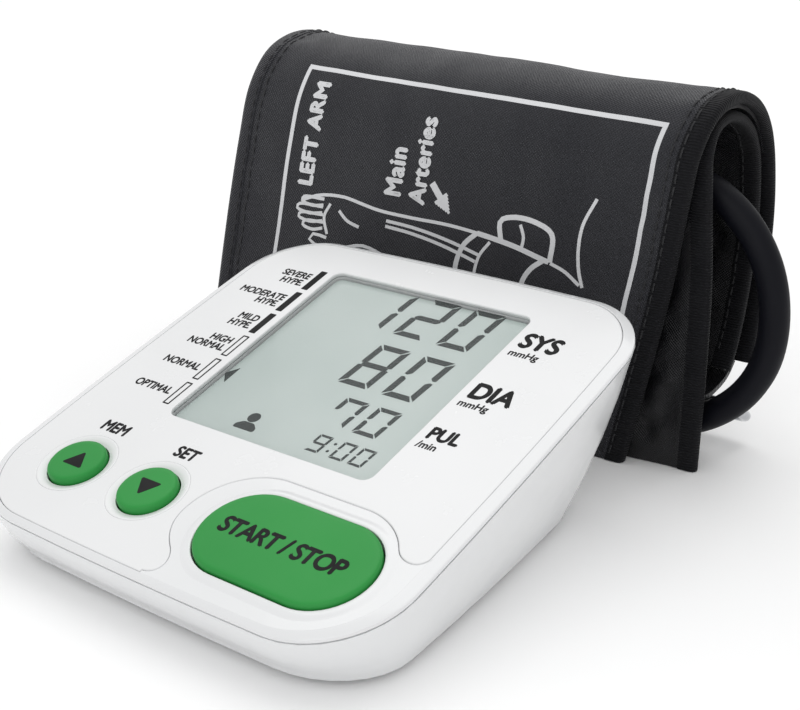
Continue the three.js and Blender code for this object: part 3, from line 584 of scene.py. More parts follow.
def seam_points(steps=10):
    """The fascia's cut-out round the start key, from the front edge to the right-hand edge."""
    points = []
    for span in SEAM:
        if len(span) == 5:
            u, v, r, begin, end = span
            for i in range(2 * steps + 1):
                a = math.radians(lerp(begin, end, i / (2 * steps)))
                points.append((u + r * math.cos(a), v + r * math.sin(a)))
            continue
        for i in range(steps + 1):
            t = i / steps
            if len(span) == 2:
                points.append((lerp(span[0][0], span[1][0], t), lerp(span[0][1], span[1][1], t)))
            else:
                a, b, c = span
                bend = ((1 - t) ** 2 * a[k] + 2 * t * (1 - t) * b[k] + t * t * c[k] for k in (0, 1))
                points.append(tuple(bend))
    thinned = [points[0]]
    for point in points[1:]:
        if math.dist(point, thinned[-1]) > 0.05:
            thinned.append(point)
    return thinned


def inside(point, loop):
    u, v = point
    hit = False
    for (a, b), (c, d) in zip(loop, loop[1:] + loop[:1]):
        if (b > v) != (d > v) and u < (c - a) * (v - b) / (d - b) + a:
            hit = not hit
    return hit


def crossing(a, b, loop):
    """The point where the segment from a, inside a loop, to b, outside it, leaves the loop."""
    for _ in range(24):
        middle = ((a[0] + b[0]) / 2, (a[1] + b[1]) / 2)
        if inside(middle, loop):
            a = middle
        else:
            b = middle
    return a


def split_panel(inset):
    """The crest outline cut in two by the seam: the points of the seam, of the bay and of the fascia."""
    edge = outline(CREST, inset, arc=24, side=12)
    seam = seam_points()
    kept = [i for i, p in enumerate(seam) if inside(p, edge)]
    start = crossing(seam[kept[0]], seam[kept[0] - 1], edge)
    end = crossing(seam[kept[-1]], seam[kept[-1] + 1], edge)
    middle = [start] + [seam[i] for i in kept] + [end]
    closing = seam + [(75, -90)]
    in_bay = [inside(p, closing) for p in edge]
    count = len(edge)
    first = next(i for i in range(count) if in_bay[i] and not in_bay[i - 1])
    turned = [edge[(first + k) % count] for k in range(count)]
    flags = [in_bay[(first + k) % count] for k in range(count)]
    bay = [p for p, f in zip(turned, flags) if f]
    rest = [p for p, f in zip(turned, flags) if not f]
    return middle, bay, rest


def bay_loop(inset):
    seam, bay, _ = split_panel(inset)
    return bay + seam[::-1]


def face_plate():
    seam, _, rest = split_panel(0.15)
    window = rounded_rect(-32, 32, -33.5, 33.5, DISPLAY["corner"])
    dish = ROUND_RADIUS + 2.6
    wells = [circle(u, ROUND_V, dish) for u in ROUND_KEYS.values()]
    build = Build()
    plate = plate_mesh([seam + rest, window, *wells], 1.2, 0.28, 0.12)
    build.mesh(plate, lambda u, v, w: on_panel(u, v, w - 0.6))
    bowl = [(2.8, -0.3), (2.72, -0.06), (2.6, -0.01), (2.3, -0.06), (1.7, -0.25), (1.0, -0.5)]
    bowl += [(0.75, -0.66), (0.45, -0.72), (0.35, -0.85), (0.35, -1.2), (2.8, -1.2)]
    for u in ROUND_KEYS.values():
        build.loft([panel_ring(circle(u, ROUND_V, ROUND_RADIUS + out), w) for out, w in bowl], loop=True)
    piece("face_plate_skin", build.points, build.faces, "fascia", replaces=["face_plate"])


def key_cap(name, ring, top, stem):
    profile = [(1.5, -4.6), (1.5, -3.6), (0, -3.6), (0, top - 1.1), (0.06, top - 0.75), (0.22, top - 0.4)]
    profile += [(0.5, top - 0.16), (0.9, top - 0.05), (1.5, top - 0.01), (2.4, top)]
    build = Build()
    build.loft([panel_ring(ring(inset), w) for inset, w in profile])
    build.loft([panel_ring(circle(*stem[:2], stem[2], 24), w) for w in (-5.4, -4.5)])
    piece(name + "_key_cap", build.points, build.faces, "key", name + "_key", replaces=[name + "_button"])


def keys():
    stem = 1.6
    key_cap("start", lambda inset: start_ring(inset, 32), START["top"], (START["u"], START["v"], stem))
    for name, u in ROUND_KEYS.items():
        cap = lambda inset, u=u: circle(u, ROUND_V, ROUND_RADIUS - inset)
        key_cap(name, cap, ROUND_TOP, (u, ROUND_V, stem))


def window_lens():
    build = Build()
    rim = rounded_rect(-32, 32, -33.5, 33.5, DISPLAY["corner"])
    sheet = plate_mesh([rim], 1.5, 0.12)
    build.mesh(sheet, lambda u, v, w: on_panel(u, v, w - 1.05))
    piece("window_pane", build.points, build.faces, "lens", replaces=["window_lens"])


def ink(build, words, u, v, size, w, bold=0.0, align="CENTER", squeeze=1.0, spacing=1.0):
    mesh = text_mesh(words, size, bold, align=align, squeeze=squeeze, spacing=spacing)
    build.mesh(mesh, lambda x, y, h: on_panel(u + x, v + y, w + h))


def flat_shape(build, loop, w, thick=0.03):
    """A thin raised shape on the panel."""
    build.loft([panel_ring(loop, w), panel_ring(loop, w + thick)])


def rounded_corners(corners, radius, arc=6):
    """A polygon, listed anticlockwise, with its corners rounded off."""
    loop = []
    for i, corner in enumerate(corners):
        here = Vector(corner)
        before = (Vector(corners[i - 1]) - here).normalized() * radius
        after = (Vector(corners[(i + 1) % len(corners)]) - here).normalized() * radius
        for k in range(arc + 1):
            t = k / arc
            loop.append(tuple(here + (1 - t) ** 2 * before + t * t * after))
    return loop


def bar(left, right, low, top):
    return [(left, low), (right, low), (right, top), (left, top)]


def labels():
    build = Build()
    for name, v, size in (("SYS", 22.0, 8.0), ("DIA", 0.6, 7.9), ("PUL", -15.7, 5.7)):
        ink(build, name, 34.6, v, size, 0, 0.042 * size, "LEFT", 0.9)
    for name, v in (("mmHg", 18.2), ("mmHg", -2.9), ("/min", -19.1)):
        ink(build, name, 34.3, v, 3.1, 0, 0.09, "LEFT", 1.0)
    ink(build, "MEM", -40.3, -45.2, 5.0, 0, 0.19, squeeze=0.86)
    ink(build, "SET", -15.2, -45.2, 5.0, 0, 0.19, squeeze=0.9)
    rows = (("SEVERE", 27.4), ("HYPE.", 24.1), ("MODERATE", 16.6), ("HYPE.", 13.5), ("MILD", 5.9))
    rows += (("HYPE.", 2.6), ("HIGH", -4.7), ("NORMAL", -8.0), ("NORMAL", -17.1), ("OPTIMAL", -27.7))
    for words, v in rows:
        ink(build, words, -37.8, v, 3.6, 0, 0.12, "RIGHT", 0.86)
    pitch, height, wide, border, right = 10.8, 9.2, 2.2, 0.45, -34.4
    for row in range(6):
        top = 32.2 - pitch * row
        outer = rounded_corners(bar(right - wide, right, top - height, top), 0.25, 3)
        if row < 3:
            flat_shape(build, outer, 0)
            continue
        inner = bar(right - wide + border, right - border, top - height + border, top - border)
        frame_mesh = plate_mesh([outer, inner], 0.03, 0.0)
        build.mesh(frame_mesh, lambda u, v, w: on_panel(u, v, w + 0.015))
    piece("panel_labels", build.points, build.faces, "ink", angle=20)


def key_marks():
    build = Build()
    ink(build, "START / STOP", START["u"] - 0.7, -61.1, 6.5, START["top"], 0.24, squeeze=0.93, spacing=0.93)
    piece("start_label", build.points, build.faces, "ink", "start_key", angle=20)
    for name, u, way in (("mem", -38.9, 1), ("set", -14.8, -1)):
        build = Build()
        arrow = ((-3.4, -2.2), (3.4, -2.2), (0, 3.0))
        corners = [(u + x * way, ROUND_V + y * way) for x, y in arrow]
        flat_shape(build, rounded_corners(corners, 0.9), ROUND_TOP)
        piece(name + "_mark", build.points, build.faces, "ink", name + "_key", angle=20)


SEGMENTS = {"0": "abcdef", "1": "bc", "2": "abged", "7": "abcf", "8": "abcdefg", "9": "abcdfg"}
SLANT = 0.075


def digit(build, sign, u, v, wide, tall, thick, w):
    """A seven-segment digit with its lower left corner at u, v."""
    half = tall / 2
    cut = thick * 0.55
    gap = thick * 0.1

    def level(y, inset):
        x0, x1, y0, y1 = inset + gap, wide - inset - gap, y - thick / 2, y + thick / 2
        return [(x0 + cut, y0), (x1 - cut, y0), (x1, y), (x1 - cut, y1), (x0 + cut, y1), (x0, y)]

    def end(y, way):
        x0, x1 = gap, wide - gap
        inner, slope = y + thick * way, 0.15 * thick
        flat = [(x0 + thick, inner), (x1 - thick, inner), (x1 - slope, y), (x0 + slope, y)]
        return flat if way > 0 else flat[::-1]

    def post(x, y, way, up):
        """One upright: the outer edge at x, `way` inwards, from the middle bar to the end bar."""
        near, far = y + up * (gap + 0.1 * thick), y + up * (half - gap)
        inner, nib = x + way * thick, up * 0.12 * thick
        loop = [(x, near + nib), (x + way * thick * 0.5, near), (inner, near + up * 0.45 * thick)]
        loop += [(inner, far - up * thick), (x, far - nib)]
        return loop if way * up > 0 else loop[::-1]

    shapes = {
        "a": lambda: end(tall, -1), "d": lambda: end(0, 1), "g": lambda: level(half, thick * 0.2),
        "b": lambda: post(wide, half, -1, 1), "c": lambda: post(wide, half, -1, -1),
        "f": lambda: post(0, half, 1, 1), "e": lambda: post(0, half, 1, -1),
    }
    for segment in SEGMENTS[sign]:
        loop = [(u + x + SLANT * y, v + y) for x, y in shapes[segment]()]
        flat_shape(build, loop, w)


def display_film():
    build = Build()
    sheet = plate_mesh([rounded_rect(-31.6, 31.6, -33.1, 33.1, 2.1)], FILM_THICK, 0.03)
    build.mesh(sheet, lambda u, v, w: on_panel(u, v, FILM_TOP - FILM_THICK / 2 + w))
    piece("display_film", build.points, build.faces, "lcd")


def readings():
    build = Build()
    depth = FILM_TOP
    for words, u, v, wide, tall, bar, step in (
        ("120", -14.7, 17.1, 9.6, 16.7, 1.9, 13.8),
        ("80", -1.4, -4.7, 9.6, 17.0, 1.9, 13.8),
        ("70", 5.0, -19.3, 7.2, 10.4, 1.35, 10.0),
    ):
        for i, sign in enumerate(words):
            digit(build, sign, u + step * i, v, wide, tall, bar, depth)
    for sign, u in (("9", 8.4), ("0", 15.9), ("0", 21.5)):
        digit(build, sign, u, -28.9, 4.1, 6.2, 0.75, depth)
    for v in (-27.2, -24.4):
        flat_shape(build, circle(14.3 + SLANT * (v + 28.9), v, 0.42, 16), depth)
    flat_shape(build, circle(-11.4, -24.5, 1.75, 28), depth)
    shoulders = [(-14.5, -29.2), (-7.9, -29.2), (-7.9, -27.8), (-9.6, -26.4), (-12.8, -26.4), (-14.5, -27.8)]
    flat_shape(build, rounded_corners(shoulders, 0.6), depth)
    flat_shape(build, rounded_corners([(-29.4, -16.4), (-29.4, -9.9), (-32.0, -13.2)], 0.3), depth)
    piece("readings", build.points, build.faces, "segment", angle=20)


# ---------------------------------------------------------------- rolled cuff
# Sections of the roll's outside at its two ends, as Y and Z, from the front hem up and over to the back.
LEFT_FOLD = (
    (57, 0), (57.4, 30), (58, 57), (59, 76), (60.8, 91), (66.5, 100.8), (75, 105), (84.5, 105.4),
    (93.5, 102.8), (101, 96), (106, 85),
)
RIGHT_FOLD = (
    (71, 0), (72, 26), (71.5, 51), (68, 76), (67, 88), (71, 96.8), (79, 101), (87.5, 101),
    (95.5, 98), (102, 92.4), (106, 85),
)
TAIL = ((109, 72), (109.5, 58), (107.5, 42), (104, 24))
INNER_TAIL = ((108.4, 72), (108.2, 56), (105.5, 40), (101.5, 28), (98, 21.5))


BOTTOM_FOLDS = (
    ((66, 19), (76, 19.2), (86, 20), (92, 21), (96, 22.8), (99, 25.8)),
    ((79.6, 20), (86, 19.8), (92, 20.9), (96, 22.8), (99, 25.8)),
)
PATCH = dict(left=-60, right=30, low=30, high=72)
RING = dict(top=(91, 15.5), low=(103.8, 7.6), wire=1.5, left=-86, right=58)


class Roll:
    """A layer of the roll, ruled between its two end sections."""

    def __init__(self, more, skew, steps=170, folds=(LEFT_FOLD, RIGHT_FOLD)):
        self.steps = steps
        self.skew = skew
        sections = []
        for fold in folds:
            line, tangents, length = even_curve([(0, *p) for p in fold + more], steps + 1)
            sections.append([(p.y, p.z, t.z, -t.y) for p, t in zip(line, tangents)])
            self.length = length
        self.left, self.right = sections
        self.crest_z = max(p[1] for p in self.left)
        self.crest = max(range(steps + 1), key=lambda i: self.left[i][1])

    def down_to(self, height):
        """The step at which the layer has come down to a height behind the crest."""
        return next(i for i in range(self.crest, self.steps) if self.left[i][1] <= height)

    def section(self, side, at):
        i = min(self.steps - 1, max(0, int(at)))
        share = at - i
        return [lerp(a, b, share) for a, b in zip(side[i], side[i + 1])]

    def at(self, x, along, depth):
        """The point x across and `along` steps from the front's foot, that deep below the outside."""
        a, b = self.section(self.left, along), self.section(self.right, along)
        lean = -self.skew * (self.crest_z - a[1]) * smooth((self.crest - along) / 6)
        share = (x + lean - CUFF_LEFT) / (CUFF_RIGHT - CUFF_LEFT)
        depth += self.crease(x, along)
        y, z = (lerp(a[k] + a[k + 2] * depth, b[k] + b[k + 2] * depth, share) for k in (0, 1))
        return world(x + lean, y, max(0.05, z))

    def crease(self, x, along):
        """Shallow folds and puckers of the cloth, towards the inside."""
        down = along / self.steps * self.length
        edge = min(x - CUFF_LEFT, CUFF_RIGHT - x)
        slow = noise.noise(Vector((x / 42, down / 30, 4.2))) * 0.9
        folds = noise.noise(Vector((x / 9 + down / 60, down / 26, 9.7))) * 0.35
        pucker = math.sin(down / 2.1 + 2.5 * noise.noise(Vector((x / 30, down / 9, 1.3)))) * 0.22
        beside_seam = math.exp(-(((edge - 8) / 4.5) ** 2)) * smooth(down / 12)
        return smooth(edge / 14) * (slow + folds) + pucker * beside_seam


def sheet_piece(name, roll, x0, x1, outer, inner, look, body, first=0.0, last=None, columns=72, **more):
    """A closed thin layer of cloth; outer and inner give its depths at each place along the roll."""
    last = roll.steps if last is None else last
    rows = int((last - first) * 0.85)
    points, uvs, faces = [], [], []
    for depth in (outer, inner):
        for i in range(rows + 1):
            along = lerp(first, last, i / rows)
            for j in range(columns + 1):
                x = lerp(x0, x1, j / columns)
                points.append(roll.at(x, along, depth(along)))
                uvs.append((x, along / roll.steps * roll.length))
    wide = columns + 1
    offset = (rows + 1) * wide
    for i in range(rows):
        for j in range(columns):
            a = i * wide + j
            faces.append((a, a + 1, a + wide + 1, a + wide))
            faces.append((offset + a, offset + a + wide, offset + a + wide + 1, offset + a + 1))
    for j in range(columns):
        faces.append((j, offset + j, offset + j + 1, j + 1))
        a = rows * wide + j
        faces.append((a, a + 1, offset + a + 1, offset + a))
    for i in range(rows):
        a, b = i * wide, (i + 1) * wide
        faces.append((a, b, offset + b, offset + a))
        a, b = a + columns, b + columns
        faces.append((a, offset + a, offset + b, b))
    return piece(name, points, faces, look, body, uvs, **more)


def settle(obj, pinned, swell, frames=16):
    """Lets a closed cloth piece grow a little and buckle between its pinned points, and keeps that shape."""
    obj.vertex_groups.new(name="pinned").add(pinned, 1.0, "REPLACE")
    cloth = obj.modifiers.new("cloth", "CLOTH")
    fabric = cloth.settings
    fabric.vertex_group_mass = "pinned"
    fabric.quality = 4
    fabric.mass = 0.05
    fabric.tension_stiffness = 12
    fabric.compression_stiffness = 12
    fabric.shear_stiffness = 4
    fabric.bending_stiffness = 0.05
    fabric.shrink_min = -swell
    fabric.effector_weights.gravity = 0
    cloth.point_cache.frame_start = 1
    cloth.point_cache.frame_end = frames
    for number in range(1, frames + 1):
        bpy.context.scene.frame_set(number)
    settled = obj.evaluated_get(bpy.context.evaluated_depsgraph_get())
    shape = [v.co.copy() for v in settled.data.vertices]
    obj.modifiers.remove(cloth)
    for vertex, place in zip(obj.data.vertices, shape):
        vertex.co = place
    bpy.context.scene.frame_set(1)


def binding(name, roll, x_edge, way, outer, inner, body, look="binding", width=4.4):
    """Ribbed tape folded over a side edge of a layer."""
    rows = int(roll.steps * 1.3)
    points, uvs = [], []
    for i in range(rows + 1):
        along = roll.steps * i / rows
        d0, d1 = outer(along), inner(along)
        middle = (d0 + d1) / 2
        path = [(width, d0 + 0.05), (width - 0.1, d0 - 0.3), (width - 0.5, d0 - 0.38), (1.8, d0 - 0.42)]
        path += [(0.5, d0 - 0.4), (-0.3, d0 - 0.15), (-0.75, lerp(d0, d1, 0.2)), (-0.85, middle)]
        path += [(-0.75, lerp(d0, d1, 0.8)), (-0.3, d1 + 0.15), (0.5, d1 + 0.4), (1.8, d1 + 0.42)]
        path += [(width - 0.5, d1 + 0.38), (width - 0.1, d1 + 0.3), (width, d1 - 0.05)]
        path += [(width - 0.3, d1 - 0.1), (0.3, d1 - 0.1), (-0.4, middle), (0.3, d0 + 0.1)]
        path += [(width - 0.3, d0 + 0.1)]
        run = 0.0
        for k, (inward, depth) in enumerate(path):
            points.append(roll.at(x_edge + way * inward, along, depth))
            if k:
                run += math.dist(path[k], path[k - 1])
            uvs.append((run, along / roll.steps * roll.length))
    count = len(points) // (rows + 1)
    faces = strip_faces(rows + 1, count)
    faces.append(tuple(range(count))[::-1])
    faces.append(tuple(rows * count + k for k in range(count)))
    return piece(name, points, faces, look, body, uvs, angle=50)


def stitching(name, roll, x, depth, body, pitch=3.4, long=2.5):
    """A row of lockstitches lying in the cloth: short threads with a dip at each hole."""
    step = pitch * roll.steps / roll.length
    build = Build()
    at = step
    while at < roll.steps - step:
        line = []
        for t in (-0.5, -0.42, -0.2, 0.0, 0.2, 0.42, 0.5):
            lift = 0.24 * (1 - (2 * t) ** 4)
            along = at + t * long * roll.steps / roll.length
            line.append(roll.at(x, along, depth + 0.12 - lift))
        ways = [(line[min(k + 1, 6)] - line[max(k - 1, 0)]).normalized() for k in range(7)]
        build.loft(tube_rings(line, ways, 0.00026, 6, (1, 0, 0.1)))
        at += step
    return piece(name, build.points, build.faces, "thread", body, angle=60)


def print_stroke(build, roll, line, width, lift=0.05, thick=0.05):
    """A printed line: a flat ribbon through points given as x and drop below the crest."""
    dense = []
    for a, b in zip(line, line[1:]):
        count = max(1, int(math.dist(a, b) / 1.5))
        dense += [(lerp(a[0], b[0], k / count), lerp(a[1], b[1], k / count)) for k in range(count)]
    dense.append(line[-1])
    rings = []
    for i, (x, drop) in enumerate(dense):
        before, after = dense[max(i - 1, 0)], dense[min(i + 1, len(dense) - 1)]
        way = Vector((after[0] - before[0], after[1] - before[1])).normalized() * width / 2
        ring = []
        for sx, height in ((-1, lift), (1, lift), (1, -thick), (-1, -thick)):
            ring.append(on_cuff(roll, x - way.y * sx, drop + way.x * sx, -height))
        rings.append(ring)
    build.loft(rings)


def on_cuff(roll, x, drop, depth):
    """A point on the cuff's front by its x and its distance down the cloth from the crest."""
    return roll.at(x, roll.crest - drop / roll.length * roll.steps, depth)


def smooth_line(points):
    line, _, _ = even_curve([(x, y, 0) for x, y in points], 24)
    return [(p.x, p.y) for p in line]


def grid_cut(mesh, pitch):
    """Cuts a flat mesh along a square grid, so that it can follow a curved surface."""
    cutter = bmesh.new()
    cutter.from_mesh(mesh)
    for axis in (0, 1):
        reach = [v.co[axis] for v in cutter.verts]
        at = min(reach) + pitch / 2
        while at < max(reach):
            place = Vector((0, 0, 0))
            place[axis] = at
            square = Vector((0, 0, 0))
            square[axis] = 1
            every = cutter.verts[:] + cutter.edges[:] + cutter.faces[:]
            bmesh.ops.bisect_plane(cutter, geom=every, plane_co=place, plane_no=square)
            at += pitch
    cutter.to_mesh(mesh)
    cutter.free()


def printed_text(build, roll, words, x, drop, size, bold):
    """Lettering that reads up the cuff, its baseline x across and its start that far below the crest."""
    mesh = text_mesh(words, size, bold, 0.0, "LEFT", 0.92, 1.08)
    grid_cut(mesh, 1.6)
    build.mesh(mesh, lambda a, b, h: on_cuff(roll, x - b, drop - a, -0.12))


def cuff_print(roll):
    """Fitting guide printed on the cuff: a frame, plain words and a generic arm wearing a cuff."""
    build = Build()
    left, right, top, low = CUFF_LEFT + 19.6, CUFF_LEFT + 135.6, 16.8, 108
    half = 0.6
    frame_lines = [[(left, low), (left, top)], [(left - half, top), (right + half, top)]]
    frame_lines += [[(right, top), (right, low)], [(left - half, low), (right + half, low)]]
    for line in frame_lines:
        print_stroke(build, roll, line, 1.3)
    base = CUFF_LEFT
    upper = [(27, 55), (33, 52.6), (42, 51.8), (48, 52.6), (55, 53.6), (66, 54), (78, 54), (88, 54.8)]
    lower = [(38, 64.6), (33, 64.2), (31.6, 65.6), (34, 67.2), (44, 66.6), (51, 64.8), (60, 66.8)]
    lower += [(70, 69.7), (80, 74)]
    fingers = []
    for (x, y), (root_x, root_y) in (
        ((27, 55), (35, 55.3)), ((25.5, 57.4), (35, 57.6)), ((26.5, 59.8), (35.5, 59.9)),
        ((28.5, 62), (36, 62)),
    ):
        finger = [(root_x, root_y), ((x + root_x) / 2, y + 0.9), (x, y), (x + 0.4, y - 1.1)]
        fingers.append(finger + [(root_x, root_y - 1.8)])
    palm = [[(37.5, 54.5), (36, 58.5), (38, 63.5)], [(41, 56), (44.5, 58.4), (49, 59.6)]]
    arteries = [[(58, 56.2), (68, 56.8), (78, 58.2), (90, 61)]]
    arteries += [[(58, 57.8), (68, 58.6), (78, 60.2), (89, 63)]]
    shoulder = [[(112, 59.2), (116.5, 60.8), (121.5, 64)]]
    shoulder += [[(122, 39), (119.3, 47), (119.3, 54), (120.6, 60), (122.5, 64.5)]]
    cuffed = [[(92.6, 56.6), (90, 61), (89.4, 66), (90, 71)], [(101, 50), (102.6, 53.4), (102.6, 56.4)]]
    for line in [upper, lower, *fingers, *palm, *arteries, *shoulder, *cuffed]:
        print_stroke(build, roll, smooth_line([(base + x, y) for x, y in line]), 0.95)
    band = [[(88, 54.8), (84.6, 58.6), (83.2, 64), (84, 71)]]
    band += [[(110, 58.6), (106.4, 62), (104.6, 66), (104.6, 72)]]
    strap = [[(88, 54.8), (98, 56), (111.5, 59)]]
    strap += [[(96, 55.8), (94.8, 50), (98, 48.4), (106, 48.6), (111, 51), (111.8, 59)]]
    for line in band + strap:
        print_stroke(build, roll, smooth_line([(base + x, y) for x, y in line]), 1.5)
    print_stroke(build, roll, [(base + 71.2, 43), (base + 75.2, 47.4)], 2.0)
    head = [(base + 73.2, 48.6), (base + 76.6, 45.4), (base + 78.4, 51)]
    for t in range(6):
        a = (lerp(head[0][0], head[2][0], t / 6), lerp(head[0][1], head[2][1], t / 6))
        b = (lerp(head[1][0], head[2][0], t / 6), lerp(head[1][1], head[2][1], t / 6))
        print_stroke(build, roll, [a, b], 1.1)
    printed_text(build, roll, "LEFT ARM", base + 29.6, 50.5, 7.0, 0.38)
    printed_text(build, roll, "Main", base + 61.2, 48.8, 7.6, 0.34)
    printed_text(build, roll, "Arteries", base + 69.4, 49.6, 7.4, 0.34)
    piece("cuff_print", build.points, build.faces, "print", angle=40)


def flat_depth(depth):
    """A depth below the roll's outside that is the same all along it."""
    return lambda along: depth


def is_sewn(point):
    """Whether a point of the inner wrap is held down: its sides, its two ends and behind the loop patch."""
    x, y, z = (point[k] * 1000 + ORIGIN[k] for k in range(3))
    if min(x - CUFF_LEFT, CUFF_RIGHT - x) < 9 or z < 6 or (y > 90 and z < 25):
        return True
    across = PATCH["left"] - 3 < x < PATCH["right"] + 3
    return y > 92 and across and PATCH["low"] - 3 < z < PATCH["high"] + 3


def patches(outer_roll, inner_roll):
    """The hook patch under the tail and the loop patch on the wrap that it closes on."""
    for name, roll, near, far, look, body in (
        ("hook_tape", outer_roll, 2.3, 3.2, "hook", "tail"),
        ("loop_tape", inner_roll, 3.5, 4.6, "loop", "monitor"),
    ):
        first, last = roll.down_to(PATCH["high"]), roll.down_to(PATCH["low"])
        sheet_piece(
            name, roll, PATCH["left"], PATCH["right"], flat_depth(near), flat_depth(far), look, body,
            first=first, last=last, replaces=[look + "_patch"],
        )


def ring_sleeve():
    """A cloth tube sewn round the ring's upper bar, with a short seam standing up behind it."""
    y, z = RING["top"]
    left, right = RING["left"] + 12, RING["right"] - 12
    count, stations = 48, 60

    def ring(x, radius, seam):
        points = []
        for k in range(count):
            a = 2 * math.pi * k / count
            rise = seam * smooth(1 - abs(math.degrees(a) - 66) / 30)
            r = radius + rise + (0.12 * noise.noise(Vector((x / 5, 2 * a, radius))) if seam else 0.0)
            points.append(world(x, y + r * math.cos(a), z + r * math.sin(a)))
        return points

    line = [lerp(left, right, i / stations) for i in range(stations + 1)]
    build = Build()
    build.loft([ring(x, 3.05, 1.2) for x in line] + [ring(x, 1.85, 0.0) for x in line[::-1]], loop=True)
    piece("ring_sleeve_cloth", build.points, build.faces, "lining", replaces=["d_ring_sleeve"], angle=60)


def cuff():
    outer_roll, inner_roll = Roll(TAIL, CUFF_SKEW), Roll(INNER_TAIL, 0.0)
    hinge = outer_roll.steps * 0.72
    to_tail = lambda along: smooth((along - hinge) / 14)
    top = flat_depth(0.0)
    under = lambda along: lerp(1.3, 1.9, to_tail(along))
    lined = lambda along: lerp(2.5, 1.9, to_tail(along))
    cloth = sheet_piece(
        "cuff_outer", outer_roll, CUFF_LEFT, CUFF_RIGHT, top, under, "cloth", None,
        replaces=["cuff_shell", "cuff_tail"],
    )
    tapes = []
    for side, edge, way, look in (("left", CUFF_LEFT, 1, "cloth"), ("right", CUFF_RIGHT, -1, "binding")):
        tapes.append(binding("outer_binding_" + side, outer_roll, edge, way, top, lined, None, look))
        for row, inset, depth in ((1, 3.4, -0.34), (2, 6.2, 0.0)):
            name = f"outer_stitch_{side}_{row}"
            tapes.append(stitching(name, outer_roll, edge + way * inset, depth, None))
    for soft in [cloth] + tapes:
        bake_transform(soft)
    lined_share = 0.7
    last = outer_roll.steps * lined_share
    lining = sheet_piece(
        "lining_cloth", outer_roll, CUFF_LEFT + 1.2, CUFF_RIGHT - 1.2,
        flat_depth(3.0), flat_depth(4.0), "lining",
        "monitor", last=last, replaces=["cuff_lining"],
    )
    wrap = sheet_piece(
        "inner_wrap_cloth", inner_roll, -87.4, 54.9, flat_depth(5.2), flat_depth(7.4), "lining", "monitor",
        replaces=["cuff_inner_wrap"],
    )
    held = [i for i, v in enumerate(wrap.data.vertices) if is_sewn(v.co)]
    settle(wrap, held, 0.035)
    bottom_roll = Roll((), 0.0, 46, BOTTOM_FOLDS)
    bottom, top = flat_depth(0.0), flat_depth(1.4)
    sheet_piece("cuff_bottom_fold", bottom_roll, -86, 54.2, bottom, top, "lining", "monitor")
    for side, edge, way in (("left", -88, 1), ("right", 55.5, -1)):
        binding("inner_binding_" + side, inner_roll, edge, way, flat_depth(5.2), flat_depth(7.4), "monitor")
        stitching("inner_stitch_" + side, inner_roll, edge + way * 3.4, 7.9, "monitor")
    cuff_print(outer_roll)
    patches(outer_roll, inner_roll)
    ring_sleeve()


def d_ring():
    (top_y, top_z), (low_y, low_z) = RING["top"], RING["low"]
    left, right, bend = RING["left"], RING["right"], 4
    reach = math.hypot(low_y - top_y, low_z - top_z)
    corners = ((left, 0, 1, 1), (right, 0, -1, 1), (right, 1, -1, -1), (left, 1, 1, -1))
    place = lambda x, t: Vector((x, lerp(top_y, low_y, t), lerp(top_z, low_z, t)))
    loop = []
    for i, (x, t, sx, st) in enumerate(corners):
        ends = [place(x, t + st * bend / reach), place(x + sx * bend, t)]
        first, last = ends if i % 2 == 0 else ends[::-1]
        for k in range(9):
            s = k / 8
            loop.append((1 - s) ** 2 * first + 2 * s * (1 - s) * place(x, t) + s * s * last)
    count = len(loop)
    ways = [(loop[(i + 1) % count] - loop[i - 1]).normalized() for i in range(count)]
    build = Build()
    rings = tube_rings(loop, ways, RING["wire"], 20, (0.3, 0.6, 0.7))
    build.loft([[world(*p) for p in ring] for ring in rings], loop=True)
    piece("d_ring_wire", build.points, build.faces, "chrome", "ring", replaces=["d_ring"], angle=60)


upper_cover()
face_plate()
keys()
window_lens()
labels()
key_marks()
display_film()
readings()
cuff()
d_ring()


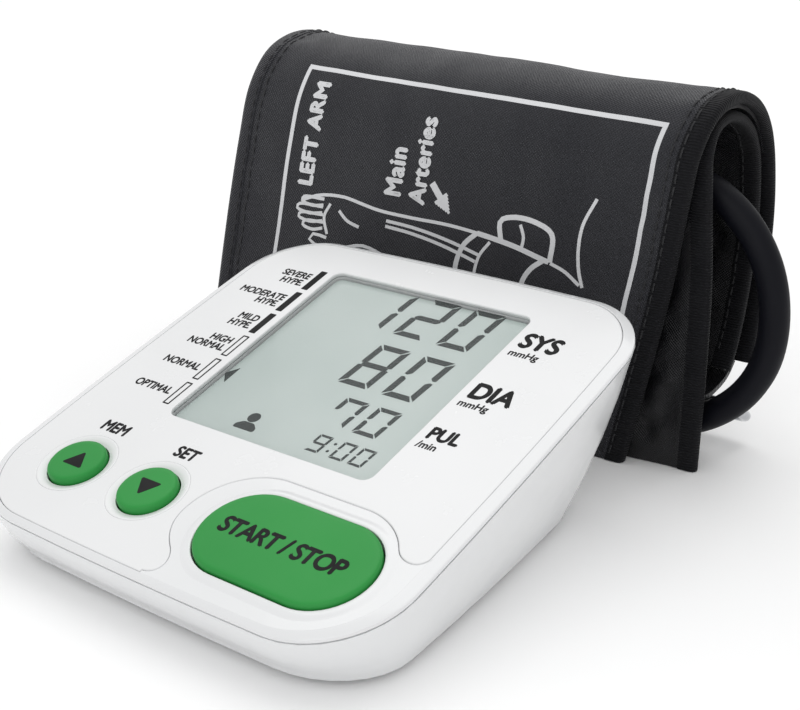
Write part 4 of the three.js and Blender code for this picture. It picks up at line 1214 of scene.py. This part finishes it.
# ---------------------------------------------------------------- carried-over CAD nodes
def smooth_group(degrees):
    """A modifier that shades a mesh smooth, except across edges sharper than the given angle."""
    group = bpy.data.node_groups.new("smooth_by_angle", "GeometryNodeTree")
    group.interface.new_socket("Geometry", in_out="INPUT", socket_type="NodeSocketGeometry")
    group.interface.new_socket("Geometry", in_out="OUTPUT", socket_type="NodeSocketGeometry")
    nodes, links = group.nodes, group.links
    source, target = nodes.new("NodeGroupInput"), nodes.new("NodeGroupOutput")
    faces, edges = nodes.new("GeometryNodeSetShadeSmooth"), nodes.new("GeometryNodeSetShadeSmooth")
    edges.domain = "EDGE"
    angle, sharp = nodes.new("GeometryNodeInputMeshEdgeAngle"), nodes.new("FunctionNodeCompare")
    sharp.inputs[1].default_value = math.radians(degrees)
    links.new(source.outputs[0], faces.inputs[0])
    links.new(faces.outputs[0], edges.inputs[0])
    links.new(angle.outputs[0], sharp.inputs[0])
    links.new(sharp.outputs[0], edges.inputs["Selection"])
    edges.inputs["Shade Smooth"].default_value = False
    links.new(edges.outputs[0], target.inputs[0])
    return group


def finish_cad_nodes():
    slots = {row["node"]: row["material_slot"] for row in frame["record"]["subparts"]}
    group = smooth_group(32)
    for name, obj in frame["nodes"].items():
        obj.data.materials.clear()
        obj.data.materials.append(MATERIALS[slots[name]])
        weld = obj.modifiers.new("weld", "WELD")
        weld.merge_threshold = 1e-6
        shade = obj.modifiers.new("smooth", "NODES")
        shade.node_group = group


finish_cad_nodes()

# ---------------------------------------------------------------- floor and light
def area(name, at, size, power, target=(0, 0, 0.04)):
    light = bpy.data.lights.new(name, "AREA")
    light.shape = "RECTANGLE"
    light.size, light.size_y = size
    light.energy = power
    obj = bpy.data.objects.new(name, light)
    bpy.context.scene.collection.objects.link(obj)
    obj.location = at
    obj.rotation_euler = (Vector(target) - Vector(at)).to_track_quat("-Z", "Y").to_euler()


def studio():
    bpy.context.scene.view_settings.view_transform = "Standard"
    bpy.ops.mesh.primitive_plane_add(size=12, location=(0, 0, -0.0002))
    floor = bpy.context.object
    floor.name = "floor"
    look = Shader("floor_paper", Roughness=0.9)
    look.colour(look.noise(0.002, detail=2), (0.93, 0.93, 0.93), (0.945, 0.945, 0.945))
    floor.data.materials.append(look.material)
    sky = bpy.data.worlds.new("studio")
    sky.use_nodes = True
    sky.node_tree.nodes["Background"].inputs[0].default_value = (1, 1, 1, 1)
    sky.node_tree.nodes["Background"].inputs[1].default_value = 0.8
    bpy.context.scene.world = sky
    area("key", (-0.3, 0.7, 2.0), (2.4, 2.4), 19)
    area("fill", (0.5, -1.5, 0.9), (1.2, 1.2), 4.0)


studio()
